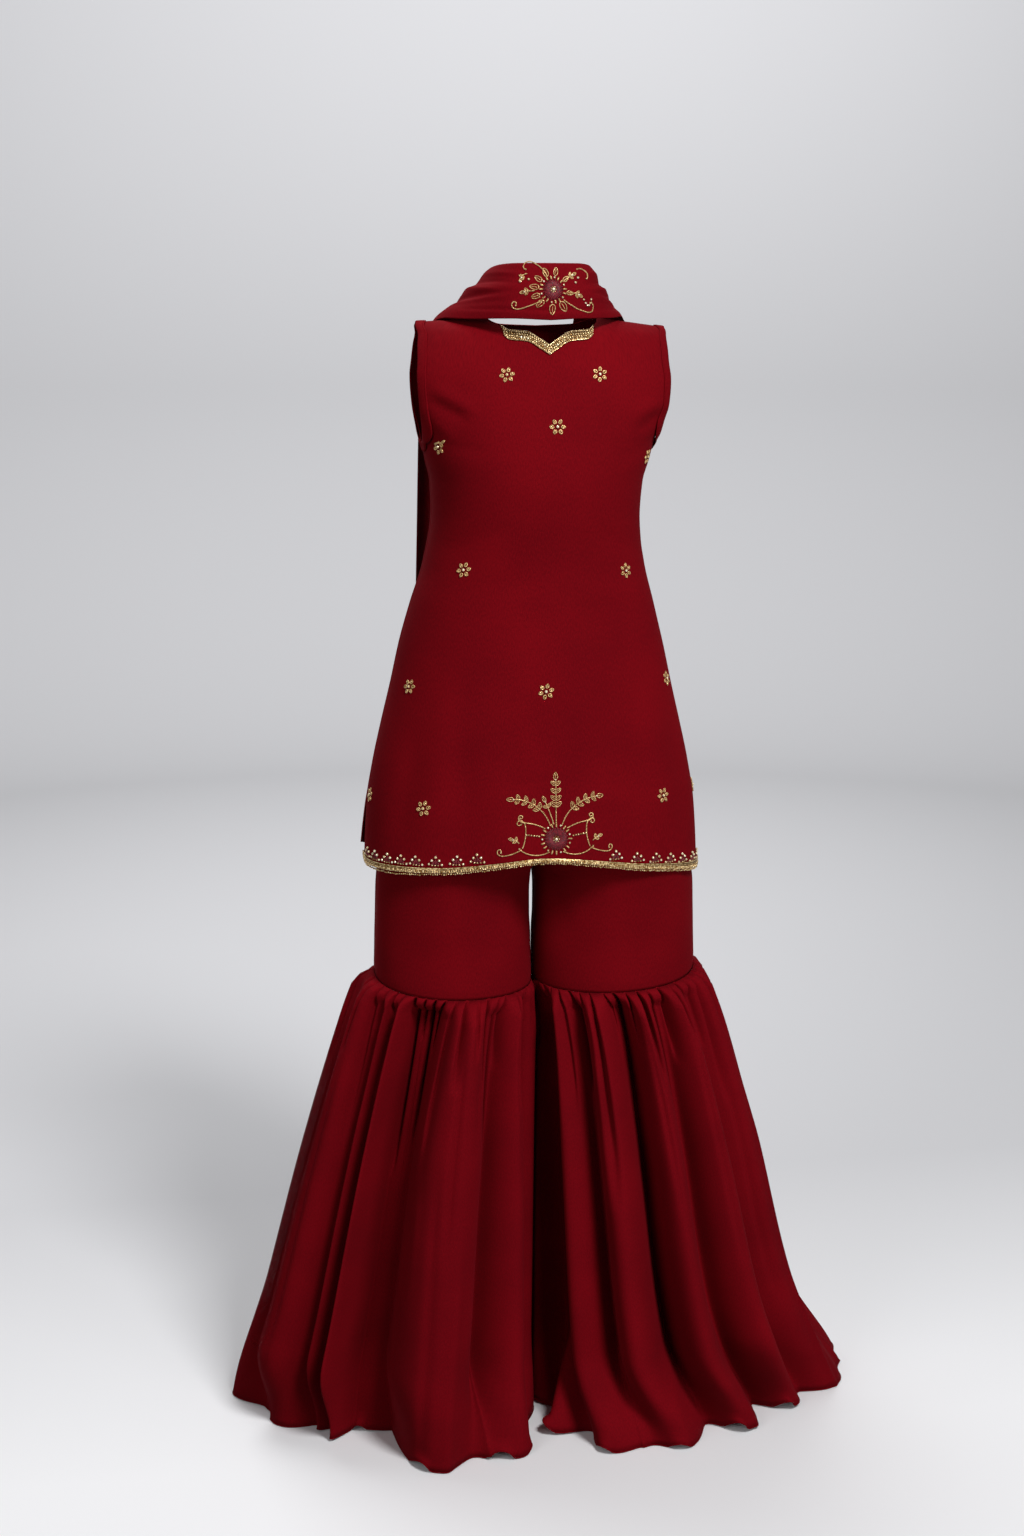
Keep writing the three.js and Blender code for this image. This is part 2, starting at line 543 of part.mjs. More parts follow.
const pleatTurn = 0.1; // how far the pleats lie from the edges, the other way on either side
const edgeRows = 10;
const throatColumns = 12;
const fallColumns = 8;
const throatCrown = 5; // how far the throat band is rounded out, fading to nothing by crownEnd
const crownEnd = 5;
const frontEnd = 3; // pleats stand out forward as far as here, and backward from backStart on
const backStart = 6;
const throatEnd = 1.5; // they stand mostly upward between here and backStart
const throatTurn = 0.45; // radians that the throat band turns by from station to station
const pleatLift = 0.2; // how far they stand upward elsewhere
const overShoulder = { across: 0.45, forward: -0.4, backward: 0.8, up: 0.8 }; // their direction up there

// Point of the scarf: along is below 0 on the wearer's right half, width runs from the outer edge (0).
function scarfPoint(along, width) {
  const side = Math.sign(along) || 1;
  const at = (name) => column(scarfStations, "at", name, Math.abs(along));
  const outer = new THREE.Vector3(at(side < 0 ? "right" : "left"), at("outY"), at("outZ"));
  const inner = new THREE.Vector3(at("inX"), at("inY"), at("inZ"));
  const point = outer.lerp(inner, width);
  const away = Math.abs(along);
  const middle = 4 * width * (1 - width);
  const crown = throatCrown * clamp(1 - away / crownEnd, 0, 1) * middle;
  const fold = at("pleat") * Math.sin(2 * Math.PI * (pleatCount * width + pleatTurn * side));
  const back = clamp((away - frontEnd) / (backStart - frontEnd), 0, 1);
  const outward = new THREE.Vector3(mix(Math.sin(away * throatTurn), 0, back), mix(-1, 1, back), pleatLift);
  if (away > throatEnd && away < backStart) {
    const { across, forward, backward, up } = overShoulder;
    outward.set(across * (1 - back), mix(forward, backward, back), up);
  }
  point.addScaledVector(outward.normalize(), crown + fold);
  point.x = point.x * side + scarfShift;
  return point;
}

function scarf() {
  const throat = spread(-shoulderStation, shoulderStation, throatColumns);
  const fall = spread(shoulderStation, lastStation, fallColumns);
  const along = [...fall.map((at) => -at).reverse().slice(0, -1), ...throat, ...fall.slice(1)];
  const grid = spread(0, 1, edgeRows).map((width) => along.map((at) => scarfPoint(at, width)));
  const normals = normalsOf(grid);
  const firstThroat = fall.length - 1;
  const lastThroat = firstThroat + throat.length - 1;
  const shorten = (end, next) => end.lerp(next, seamGap / 2 / end.distanceTo(next));
  const stretch = (name, from, to) => {
    const part = grid.map((row) => row.slice(from, to + 1).map((point) => point.clone()));
    const partNormals = normals.map((row) => row.slice(from, to + 1));
    for (const row of part) {
      const end = row.length - 1;
      if (from > 0) shorten(row[0], row[1]);
      if (to < along.length - 1) shorten(row[end], row[end - 1]);
    }
    add(name, wall(part, partNormals, { low: 0, high: cloth }), sheerCrimson);
  };
  stretch("dupatta_fall_right", 0, firstThroat);
  stretch("dupatta_throat", firstThroat, lastThroat);
  stretch("dupatta_fall_left", lastThroat, along.length - 1);
}
scarf();

export default suit;
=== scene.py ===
# A gharara suit as it is worn: sleeveless kurta, trousers with skirts gathered onto the knees, and a
# dupatta laid round the throat. Sizes are in millimetres until a mesh is made.
# The wearer faces -Y, and +X is the wearer's left.
import math

import bpy
import numpy as np
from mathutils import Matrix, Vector


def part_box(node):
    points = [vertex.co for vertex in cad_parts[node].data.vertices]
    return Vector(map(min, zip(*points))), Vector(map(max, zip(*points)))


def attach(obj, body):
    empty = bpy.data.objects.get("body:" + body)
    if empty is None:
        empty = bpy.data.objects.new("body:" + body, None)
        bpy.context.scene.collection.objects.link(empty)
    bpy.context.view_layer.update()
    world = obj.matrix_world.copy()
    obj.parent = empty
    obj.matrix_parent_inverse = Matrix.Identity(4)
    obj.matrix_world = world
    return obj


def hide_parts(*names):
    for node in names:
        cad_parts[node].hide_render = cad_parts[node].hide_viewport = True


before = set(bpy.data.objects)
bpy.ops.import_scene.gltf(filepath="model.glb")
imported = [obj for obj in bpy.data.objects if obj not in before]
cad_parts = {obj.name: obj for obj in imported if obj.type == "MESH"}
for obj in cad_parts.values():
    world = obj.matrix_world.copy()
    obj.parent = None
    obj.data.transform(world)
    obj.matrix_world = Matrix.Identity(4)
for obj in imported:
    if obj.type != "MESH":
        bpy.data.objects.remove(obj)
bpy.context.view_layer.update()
mm = 0.001
print("packed frame loaded:", len(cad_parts), "nodes")

seam = 0.05  # half the gap between two sewn panels, small enough to read as a seam
shell = 0.8  # cloth, with its turnings, as thick as it looks at an edge
floorHeight = round(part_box("flare_left_front")[0][2] / mm + 1)
signs = {"right": -1, "left": 1, "front": -1, "back": 1}
panels = {side + face: (side, face.lower()) for side in ("right", "left") for face in ("Front", "Back")}


# numbers and tables


# sRGB hex to linear RGBA: c/12.92 below 0.04045, else ((c + 0.055)/1.055) to the power 2.4.
def linear(hexText):
    c = np.array([int(hexText[i : i + 2], 16) for i in (0, 2, 4)]) / 255
    c = np.where(c <= 0.04045, c / 12.92, ((c + 0.055) / 1.055) ** 2.4)
    return (*[float(x) for x in c], 1.0)


def mix(a, b, t):
    return a + (b - a) * t


# 0 below low, 1 above high, 3t^2 - 2t^3 between.
def smooth(low, high, x):
    t = np.clip((x - low) / (high - low), 0, 1)
    return t * t * (3 - 2 * t)


# A soft ridge's height away from its line: exp(-x^2).
def bell(x):
    return np.exp(-(x**2))


# Rows of numbers under named columns, as one array for each column.
def table(names, *rows):
    return dict(zip(names.split(), np.array(rows, float).T))


def tables(names, **rows):
    return {key: table(names, *rows[key]) for key in rows}


# One column at any key: a cubic between rows whose slopes are harmonic means, so it never overshoots.
def column(rows, key, name, at):
    x, y = rows[key], rows[name]
    at = np.clip(at, x[0], x[-1])
    i = np.clip(np.searchsorted(x, at, side="left") - 1, 0, len(x) - 2)
    slope = np.diff(y) / np.diff(x)
    product, total = slope[:-1] * slope[1:], slope[:-1] + slope[1:]
    inner = np.where(product > 0, 2 * product / np.where(total == 0, 1, total), 0)
    tangent = np.concatenate([slope[:1], inner, slope[-1:]])
    span = x[i + 1] - x[i]
    t = (at - x[i]) / span
    straight = mix(y[i], y[i + 1], t * t * (3 - 2 * t))
    return straight + span * t * (1 - t) * ((1 - t) * tangent[i] - t * tangent[i + 1])


def unit(v):
    return v / np.maximum(np.linalg.norm(v, axis=-1, keepdims=True), 1e-9)


# Distance along each row of points from its first one.
def lengths(points):
    steps = np.linalg.norm(np.diff(points, axis=-2), axis=-1)
    return np.concatenate([np.zeros(steps.shape[:-1] + (1,)), np.cumsum(steps, axis=-1)], axis=-1)


# Points every pitch along a path, or other values that go with it, by interpolating over its length.
def evenly(path, pitch, values=None):
    run = lengths(path)
    count = max(int(run[-1] / pitch), 1)
    at = (np.arange(count) + 0.5) * run[-1] / count
    return np.stack([np.interp(at, run, v) for v in np.transpose(path if values is None else values)], -1)


# meshes


def addObject(name, data):
    item = bpy.data.objects.new(name, data)
    bpy.context.collection.objects.link(item)
    return item


# Points in metres and lists of faces become a smooth mesh.
def addMesh(name, points, faces, material):
    mesh = bpy.data.meshes.new(name)
    mesh.from_pydata(points.reshape(-1, 3).tolist(), [], [corners for f in faces for corners in f.tolist()])
    mesh.polygons.foreach_set("use_smooth", [True] * len(mesh.polygons))
    mesh.materials.append(material)
    return addObject(name, mesh)


# A mesh from points in mm, riding on the root. uv holds real lengths over the cloth, values are numbers at
# its points for the shader, thick gives it a wall, measured inward, and nodes are the CAD nodes it replaces.
def makePiece(name, points, faces, material, nodes=(), thick=0.0, uv=None, values=None):
    piece = addMesh(name, points * mm, faces, material)
    if uv is not None:
        corners = np.concatenate([f.ravel() for f in faces])
        layer = piece.data.uv_layers.new(name="cloth")
        layer.data.foreach_set("uv", (uv.reshape(-1, 2)[corners] * mm).astype(np.float32).ravel())
    for label, value in (values or {}).items():
        attribute = piece.data.attributes.new(label, "FLOAT", "POINT")
        attribute.data.foreach_set("value", value.astype(np.float32).ravel())
    if thick:
        wall = piece.modifiers.new("wall", "SOLIDIFY")
        wall.thickness = thick * mm
        wall.offset = -1
    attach(piece, "root")
    if nodes:
        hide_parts(*nodes)
    return piece


# Quads of a grid, anticlockwise when rows go up and columns go anticlockwise round the wearer. wrap joins the
# last column to the first, and closed the last row to the first.
def gridFaces(rows, columns, wrap=False, closed=False):
    j, i = np.meshgrid(np.arange(rows - (not closed)), np.arange(columns - (not wrap)), indexing="ij")
    after, up = (i + 1) % columns, (j + 1) % rows
    quads = (j * columns + i, j * columns + after, up * columns + after, up * columns + i)
    return np.stack(quads, -1).reshape(-1, 4)


# Triangles from a grid's first and last rows to two poles, the points that follow the grid's own.
def capFaces(rows, columns):
    k, last = np.arange(columns), (rows - 1) * columns
    after, pole = (k + 1) % columns, np.full(columns, rows * columns)
    return np.concatenate([np.stack([pole, after, k], -1), np.stack([pole + 1, last + k, last + after], -1)])


# Outward normals of a grid: the cross product of its steps along a row and up a column.
def gridNormals(points, wrap=False):
    if wrap:
        along = np.roll(points, -1, 1) - np.roll(points, 1, 1)
    else:
        along = np.gradient(points, axis=1)
    return unit(np.cross(along, np.gradient(points, axis=0)))


# Real lengths over the cloth: along each row from its middle, and up the middle column.
def clothUv(points):
    run, at = lengths(points), round(0.5 * (points.shape[1] - 1))
    rise = lengths(points[:, at])
    return np.stack([run - run[:, at : at + 1], np.broadcast_to(rise[:, None], run.shape)], -1)


def gridPiece(name, points, material, nodes, thick=shell, values=None, wrap=False):
    faces = [gridFaces(*points.shape[:2], wrap)]
    return makePiece(name, points, faces, material, nodes, thick, clothUv(points), values)


# A strip of cloth or trim on rows of points, moved out along their normals.
def strip(name, edges, material, node, out, wrap=False):
    points = edges + gridNormals(edges, wrap) * np.asarray(out)[..., None]
    return gridPiece(name, points, material, [node], wrap=wrap)


# Threads and beads, each (points, quads, triangles), as one mesh.
def threadPiece(name, parts, material):
    start = np.cumsum([0] + [len(part[0]) for part in parts])
    faces = [np.concatenate([part[k] + first for part, first in zip(parts, start)]) for k in (1, 2)]
    return makePiece(name, np.concatenate([part[0] for part in parts]), faces, material)


# A tube round a path: p + r(n cos a + b sin a), b = tangent x n, drawn to a point at open ends.
def thread(path, normals, radius, sides=5, closed=False):
    path, normals, count = np.asarray(path, float), np.asarray(normals, float), len(path)
    tangent = unit(np.roll(path, -1, 0) - np.roll(path, 1, 0) if closed else np.gradient(path, axis=0))
    across = unit(np.cross(tangent, normals))
    a = (np.arange(sides) * 2 * np.pi / sides)[:, None, None]
    ring = np.cos(a) * np.cross(across, tangent) + np.sin(a) * across
    points = (path + radius * ring).transpose(1, 0, 2).reshape(-1, 3)
    quads = gridFaces(count, sides, True, closed)
    if closed:
        return points, quads, np.zeros((0, 3), int)
    ends = np.stack([path[0] - tangent[0] * radius, path[-1] + tangent[-1] * radius])
    return np.concatenate([points, ends]), quads, capFaces(count, sides)


# A unit ball of a few dozen faces: rings of (sin t cos a, sin t sin a, cos t) and two poles.
def beadShape(sides=8, rings=3):
    t = (np.arange(1, rings + 1) * np.pi / (rings + 1))[:, None]
    a = (np.arange(sides) * 2 * np.pi / sides)[None]
    ring = np.stack(np.broadcast_arrays(np.sin(t) * np.cos(a), np.sin(t) * np.sin(a), np.cos(t)), -1)
    points = np.concatenate([ring.reshape(-1, 3), [[0, 0, 1], [0, 0, -1]]])
    # The rings go down, so the faces are turned round.
    return points, gridFaces(rings, sides, True)[:, [0, 3, 2, 1]], capFaces(rings, sides)[:, [0, 2, 1]]


# Copies of a ball at many places, each flattened along the cloth's normal.
def beads(centres, normals, radii, flat=0.8, shape=beadShape()):
    points, quads, triangles = shape
    centres, normals = np.asarray(centres, float), unit(np.asarray(normals, float))
    radii = np.broadcast_to(radii, len(centres))[:, None, None]
    side = unit(np.cross(normals, [0.31, 0.17, 0.93]))  # any direction that no normal takes
    axes = np.stack([side, np.cross(normals, side), normals * flat], 1)
    placed = centres[:, None] + radii * np.einsum("vk,nkc->nvc", points, axes)
    step = (np.arange(len(centres)) * len(points))[:, None, None]
    return placed.reshape(-1, 3), (quads + step).reshape(-1, 4), (triangles + step).reshape(-1, 3)


# A place on a surface moved out along its normal, with the normal, which comes from steps du and dv.
def moveOut(surface, u, v, du, dv, lift):
    along, up = surface(u + du, v) - surface(u - du, v), surface(u, v + dv) - surface(u, v - dv)
    normal = unit(np.cross(along, up))
    return surface(u, v) + normal * np.asarray(lift)[..., None], normal


# Flat millimetres (a, b) round one place of a surface: u = u0 + a/|dS/du|, v = v0 + b/|dS/dv|. It gives
# points lifted along the normal, with the normals.
def chart(surface, u0, v0):
    e = 1e-3
    su = np.linalg.norm(surface(u0 + e, v0) - surface(u0 - e, v0)) / (2 * e)
    sv = np.linalg.norm(surface(u0, v0 + e) - surface(u0, v0 - e)) / (2 * e)

    def place(flat, lift=0.0):
        flat = np.asarray(flat, float)
        return moveOut(surface, u0 + flat[..., 0] / su, v0 + flat[..., 1] / sv, 0.3 / su, 0.3 / sv, lift)

    return place


# materials


# One shader node with its settings; links maps its input names to (node, output) pairs.
def addNode(material, kind, links=None, **settings):
    node = material.node_tree.nodes.new("ShaderNode" + kind)
    for name, value in settings.items():
        if hasattr(node, name) and name not in node.inputs:
            setattr(node, name, value)
        else:
            node.inputs[name.replace("_", " ")].default_value = value
    for name, (source, output) in (links or {}).items():
        material.node_tree.links.new(source.outputs[output], node.inputs[name])
    return node


def newMaterial(name):
    material = bpy.data.materials.new(name)
    material.use_nodes = True
    material.node_tree.nodes.clear()
    return material, addNode(material, "TexCoord")


# Colours between (position, hex) stops, as a node and its output.
def addRamp(material, source, *stops):
    ramp = addNode(material, "ValToRGB", {"Fac": source})
    for element, (position, colour) in zip(ramp.color_ramp.elements, stops):
        element.position, element.color = position, linear(colour)
    return ramp, "Color"


# The surface shader on the material's output. bump is a source of height, its strength and its depth in mm.
def finishMaterial(material, links, bump=None, **settings):
    if bump:
        source, strength, depth = bump
        relief = addNode(material, "Bump", {"Height": source}, Strength=strength, Distance=depth * mm)
        links = {**links, "Normal": (relief, "Normal")}
    shader = addNode(material, "BsdfPrincipled", links, **settings)
    addNode(material, "OutputMaterial", {"Surface": (shader, "BSDF")})
    return material


# Colours, grain in mm, bump depth in mm, roughness and sheen. The real grain is about 0.4 mm and would
# vanish, so it is drawn three to four times as coarse, slanting and longer one way than the other.
clothLook = {
    "crepe": ("78040f", "66020c", 1.5, 0.22, 0.9, 0.04),
    "georgette": ("780410", "64020c", 1.2, 0.16, 0.88, 0.05),
    "slant": 38,
    "stretch": 0.36,
    "glow": "b8283c",
    "alpha": 0.56,  # how much of the light a single layer stops where the cloth is sheer
}


# Hard-twisted yarns: a fine slanting pebble over broad faint clouds of tone, and almost no shine.
def clothMaterial(name, kind, sheer=False):
    light, dark, size, depth, roughness, sheen = clothLook[kind]
    material, place = newMaterial(name)
    scale = (1 / (size * mm), clothLook["stretch"] / (size * mm), 1)
    turned = (0, 0, math.radians(clothLook["slant"]))
    turn = addNode(material, "Mapping", {"Vector": (place, "UV")}, Rotation=turned, Scale=scale)
    noise = {"noise_dimensions": "2D", "Detail": 2.0}
    grain = addNode(material, "TexNoise", {"Vector": (turn, "Vector")}, Scale=1.0, Roughness=0.6, **noise)
    broad = addNode(material, "TexNoise", {"Vector": (place, "UV")}, Scale=9.0, **noise)
    tones = {"A": (grain, "Fac"), "B": (broad, "Fac")}
    tones = addNode(material, "Mix", tones, data_type="FLOAT", Factor=0.35)
    links = {"Base Color": addRamp(material, (tones, "Result"), (0.36, dark), (0.64, light))}
    if sheer:
        thin = addNode(material, "Attribute", attribute_name="sheer")
        limits = {"To_Min": 1.0, "To_Max": clothLook["alpha"]}
        links["Alpha"] = addNode(material, "MapRange", {"Value": (thin, "Fac")}, **limits), "Result"
    shine = {"Sheen_Weight": sheen, "Sheen_Roughness": 0.5, "Sheen_Tint": linear(clothLook["glow"])}
    shine = {"Roughness": roughness, "Specular_IOR_Level": 0.06, **shine}
    return finishMaterial(material, links, ((grain, "Fac"), 0.5, depth), **shine)


# Thread, braid and beads, dulled unevenly in spots, so each stitch or bead takes its own tone.
def trimMaterial(name, light, dark, roughness, metallic, spot, depth):
    material, place = newMaterial(name)
    scale = {"Scale": 1 / (spot * mm), "Detail": 1.0}
    spots = addNode(material, "TexNoise", {"Vector": (place, "Object")}, **scale), "Fac"
    links = {"Base Color": addRamp(material, spots, (0.36, dark), (0.62, light))}
    return finishMaterial(material, links, (spots, 0.6, depth), Metallic=metallic, Roughness=roughness)


# Dense matt cloth in a deep red, and a thinner one that shows light through a single layer.
crepe = clothMaterial("polyester crepe", "crepe")
georgette = clothMaterial("polyester georgette", "georgette", sheer=True)
# Warm glints from glass with a thin metal coat, and cooler, paler ones from cut glass.
goldBeads = trimMaterial("plated glass beads", "f6dca6", "94692f", 0.22, 0.6, 2.6, 0.1)
paleBeads = trimMaterial("pale cut-glass beads", "fbf1d4", "d9bd86", 0.16, 0.35, 3.0, 0.1)
# Coiled wire with a satin gleam, a dull braid that darkens the gaps between beads, and silky red thread.
goldThread = trimMaterial("gilt embroidery wire", "ecc98c", "946838", 0.34, 0.45, 1.4, 0.2)
braidGround = trimMaterial("woven gold braid", "8a632e", "4d3212", 0.5, 0.4, 1.2, 0.2)
redThread = trimMaterial("red satin-stitch thread", "860d22", "4a0410", 0.5, 0.0, 1.6, 0.2)
print("materials made")


# kurta

# Level sections: half width, depth in front and behind, sideways shift, and how far round the cloth reaches.
kurtaSections = table(
    "z half front back shift edge",
    (-725, 223, 133, 131, -13, 90), (-687, 222, 131, 129, -13, 90), (-619, 218, 127, 125, -13, 90),
    (-564, 209, 124, 121, -13, 90), (-510, 197, 121, 115, -13, 90), (-457, 184, 118, 109, -13, 90),
    (-404, 172, 114, 102, -13, 90), (-352, 158, 110, 95, -12, 90), (-300, 143, 109, 90, -10, 90),
    (-235, 134, 115, 91, -8, 90), (-197, 136, 118, 94, -7, 90), (-170, 143, 116, 96, -6, 90),
    (-147, 148, 112, 96, -5, 90), (-144, 149, 111.3, 95.8, -5, 84), (-135, 153, 109.2, 95, -4, 77),
    (-120, 161, 105, 93, -4, 71), (-96, 173, 99, 87, -3, 65.5), (-60, 180, 87, 75, -3, 62.5),
    (-47, 178, 81, 69, -3, 63), (-22, 169, 67, 55, -2, 69), (-7, 162, 54, 44, -1, 76),
    (1, 160, 36, 30, -1, 83), (5, 158, 17, 14, -1, 88), (6, 158, 0, 0, -1, 90),
)
neckLines = tables(
    "at z",
    front=((0, -27), (0.18, -20), (0.45, -11), (0.8, -9), (0.92, -3), (1, 6)),
    back=((0, -4), (0.7, -2), (1, 6)),
)
hemLines = tables(
    "at z",
    front=((-1, -680), (-0.9, -687), (-0.4, -682), (0, -668), (0.4, -688), (0.9, -706), (1, -702)),
    back=((-1, -668), (-0.6, -690), (0.4, -702), (1, -721)),
)
kurta = {
    "shoulderZ": 6,
    "underarmZ": -147,
    "slitZ": -600,
    "hemZ": -687,
    "hemBlendZ": -630,  # the hem's waves fade out by here
    "neckBlendZ": -50,
    "neckEnd": 0.3,  # the neck opening's share of the half panel
    "roundness": 0.85,
    "tipDrop": (5, 12),  # fall of the right and left shoulder, from tipFrom out and over tipReach
    "tipFrom": 70,
    "tipReach": 88,
    "slitPart": {"front": 3, "back": 9},
    "slitFlare": {"front": 0, "back": 5},
    "seamPull": 0.9,  # depth and width of the furrow at the side seam
    "seamWide": 4,
}
# Creases: middle x and z, slope of the line in degrees, its length, its width, and its height, which
# is below 0 for a trough.
kurtaCreases = tables(
    "x z turn long wide high",
    front=(
        (-128, -104, -28, 46, 8, -3.0), (-122, -90, -30, 58, 9, 2.2), (-134, -128, -42, 40, 7, 1.4),
        (128, -118, 34, 44, 8, -2.0), (120, -104, 30, 52, 10, 1.5), (-108, -150, -12, 40, 8, -1.1),
        (104, -158, 16, 46, 9, -1.0), (-96, -262, 24, 80, 13, -1.2), (92, -270, -22, 90, 14, -1.4),
        (-60, -316, 8, 110, 15, -0.9), (70, -330, -9, 96, 13, 0.8), (-36, -566, 2, 70, 7, -0.9),
        (48, -592, -4, 90, 9, 0.7), (-150, -560, 82, 190, 18, 2.8), (-118, -600, 87, 150, 17, -2.4),
        (-70, -612, 91, 130, 20, 1.8), (-24, -640, 89, 100, 16, -1.6), (40, -628, 90, 120, 21, 1.9),
        (88, -606, 92, 160, 18, -2.6), (134, -574, 96, 200, 19, 3.0), (172, -560, 99, 170, 15, -2.4),
        (-186, -580, 80, 150, 13, -2.0),
    ),
    back=(
        (-122, -96, -32, 60, 10, -2.6), (118, -100, 30, 66, 11, -2.4), (-104, -130, -20, 56, 10, 1.8),
        (98, -136, 22, 52, 9, 1.6), (-14, -292, 4, 130, 11, -2.4), (-2, -314, -3, 160, 12, 2.0),
        (-22, -338, 5, 120, 10, -1.6), (52, -276, -12, 80, 9, -1.3), (-78, -284, 14, 76, 9, -1.4),
        (-140, -560, 83, 210, 19, 3.2), (-96, -590, 88, 170, 18, -3.0), (-44, -572, 90, 220, 22, 3.0),
        (8, -610, 89, 150, 17, -2.8), (58, -580, 91, 200, 20, 2.9), (108, -600, 94, 160, 17, -3.1),
        (150, -566, 97, 190, 18, 2.8),
    ),
)


# across is -1 at the wearer's right edge and 1 at the left one. Each level section is
# (half sin a, depth (cos a)^roundness) with a = across times its edge angle; creases are soft bars,
# height exp(-(d/wide)^2) exp(-(t/half long)^4), laid along the outward direction.
def kurtaSurface(face, across, level):
    k, sign = kurta, signs[face]
    across, level = np.broadcast_arrays(np.asarray(across, float), np.asarray(level, float))
    away = np.abs(across)
    top = column(neckLines[face], "at", "z", away / k["neckEnd"])
    neck = mix(k["neckBlendZ"], top, (level - k["neckBlendZ"]) / (k["shoulderZ"] - k["neckBlendZ"]))
    z = np.where((level > k["neckBlendZ"]) & (away < k["neckEnd"]), neck, level)
    bottom = column(hemLines[face], "at", "z", across)
    hem = mix(k["hemBlendZ"], bottom, (level - k["hemBlendZ"]) / (k["hemZ"] - k["hemBlendZ"]))
    z = np.where(level < k["hemBlendZ"], hem, z)
    half, depth, shift, edge = (column(kurtaSections, "z", n, z) for n in ("half", face, "shift", "edge"))
    angle = across * np.radians(edge)
    slit = np.clip((k["slitZ"] - z) / (k["slitZ"] - k["hemZ"]), 0, 1)
    half = half + k["slitFlare"][face] * slit * away**3
    x = shift + half * np.sin(angle)
    depth = depth * np.maximum(np.cos(angle), 0) ** k["roundness"] + k["slitPart"][face] * slit * away**6
    drop = np.where(x < 0, k["tipDrop"][0], k["tipDrop"][1])
    drop = drop * np.clip((np.abs(x) - k["tipFrom"]) / k["tipReach"], 0, 1)
    fall = drop * np.clip((z - k["underarmZ"]) / -k["underarmZ"], 0, 1)
    points = np.stack([x, sign * (depth + seam), z - fall], -1)
    c = kurtaCreases[face]
    turn = np.radians(c["turn"])
    dx, dz = x[..., None] - c["x"], z[..., None] - c["z"]
    t, d = dx * np.cos(turn) + dz * np.sin(turn), dz * np.cos(turn) - dx * np.sin(turn)
    bars = c["high"] * bell(d / c["wide"]) * np.exp(-((t / (c["long"] / 2)) ** 4))
    # Creases fade at the panel's edges, and the side seam draws the cloth in.
    height = bars.sum(-1) * smooth(1.0, 0.93, away)
    pull = np.where(z > k["slitZ"], 1.0, 0.3) * bell((1 - away) * half * 1.2 / k["seamWide"])
    pull = np.where(z < k["underarmZ"], pull, 0)
    outward = unit(np.stack([np.sin(angle) * depth, sign * np.cos(angle) * half, np.zeros_like(x)], -1))
    outward[..., 1] *= np.clip((1 - away) / 0.02, 0, 1)
    return points + outward * (height - k["seamPull"] * pull)[..., None]


def frontSurface(across, level):
    return kurtaSurface("front", across, level)


def kurtaPanel(name, face):
    middle, side = np.linspace(0, kurta["neckEnd"], 21)[:-1], np.linspace(kurta["neckEnd"], 1, 58)
    side[-12:] = 1 - (1 - side[-12]) * (1 - np.linspace(0, 1, 12)) ** 1.3  # closer together near the edge
    across = np.concatenate([-side[::-1], -middle[:0:-1], middle, side])
    spans = ((kurta["hemZ"], -160, 92), (-160, -30, 34), (-30, 0, 12))  # from, to and number of levels
    shoulder = kurta["shoulderZ"] * (1 - np.linspace(1, 0, 9) ** 1.8)
    level = np.concatenate([*(np.linspace(*span)[:-1] for span in spans), shoulder])
    if face == "back":
        across = across[::-1]
    points = kurtaSurface(face, across[None], level[:, None])
    return gridPiece(name, points, crepe, ["kurta_" + face])


front = kurtaPanel("kurtaFront", "front")
back = kurtaPanel("kurtaBack", "back")
print("kurta panels made")

# Places along the armhole's edge, with the place a band's width in from it, and how far the band stands off.
bandStops = table(
    "at level inAcross inLevel ease",
    (0, -147, 1, -160, 0), (1, -144, 0.92, -157, 0.3), (2, -135, 0.85, -145, 2.6),
    (3, -120, 0.865, -125, 1.3), (4, -96, 0.9, -97, 0.1), (5, -60, 0.9, -60, 0), (6, -22, 0.88, -22, 0),
    (7, -7, 0.86, -7, 0), (8, 1, 0.83, 1, 0), (9, 5, 0.775, 5, 0), (10, 6, 0.74, 6, 0),
)
band = {"steps": 8, "rows": 9, "out": 1.1, "puff": 0.5, "stitch": {"gap": 2.4, "half": 0.8, "radius": 0.28}}


# Points from the armhole's edge to a band's width in, up the front and down the back, moved out with a soft
# puff across the width, 4 s (1 - s). A row of stitches runs along the inner edge.
def armholeBand(name, side, node):
    at = np.linspace(0, 10, 10 * band["steps"] + 1)
    level, inAcross, inLevel, ease = (column(bandStops, "at", n, at) for n in list(bandStops)[1:])
    share = np.linspace(1, 0, band["rows"])[:, None]
    across, level = side * mix(1, inAcross, share), mix(level, inLevel, share)
    up, down = kurtaSurface("front", across, level), kurtaSurface("back", across, level)
    points = np.concatenate([up[:, :-1], down[:, :0:-1]], 1)
    ease = np.concatenate([ease[:-1], ease[:0:-1]])
    if side > 0:
        points, ease = points[:, ::-1], ease[::-1]
    lift = ease[None] + band["out"] + band["puff"] * 4 * share * (1 - share)
    piece = strip(name, points, crepe, node, lift, True)
    normals = gridNormals(points, True)
    row = points[1] + normals[1] * (lift[1] + 0.05)[:, None]
    look, stitches = band["stitch"], []
    centres = evenly(np.concatenate([row, row[:1]]), look["gap"])
    ahead = unit(np.roll(centres, -1, 0) - np.roll(centres, 1, 0)) * look["half"]
    nearest = np.argmin(((centres[:, None] - row[None]) ** 2).sum(-1), 1)
    for c, d, n in zip(centres, ahead, normals[1][nearest]):
        line = np.stack([c - d, c, c + d]) + n * 0.12
        stitches.append(thread(line, np.stack([n, n, n]), look["radius"], 4))
    return piece, stitches


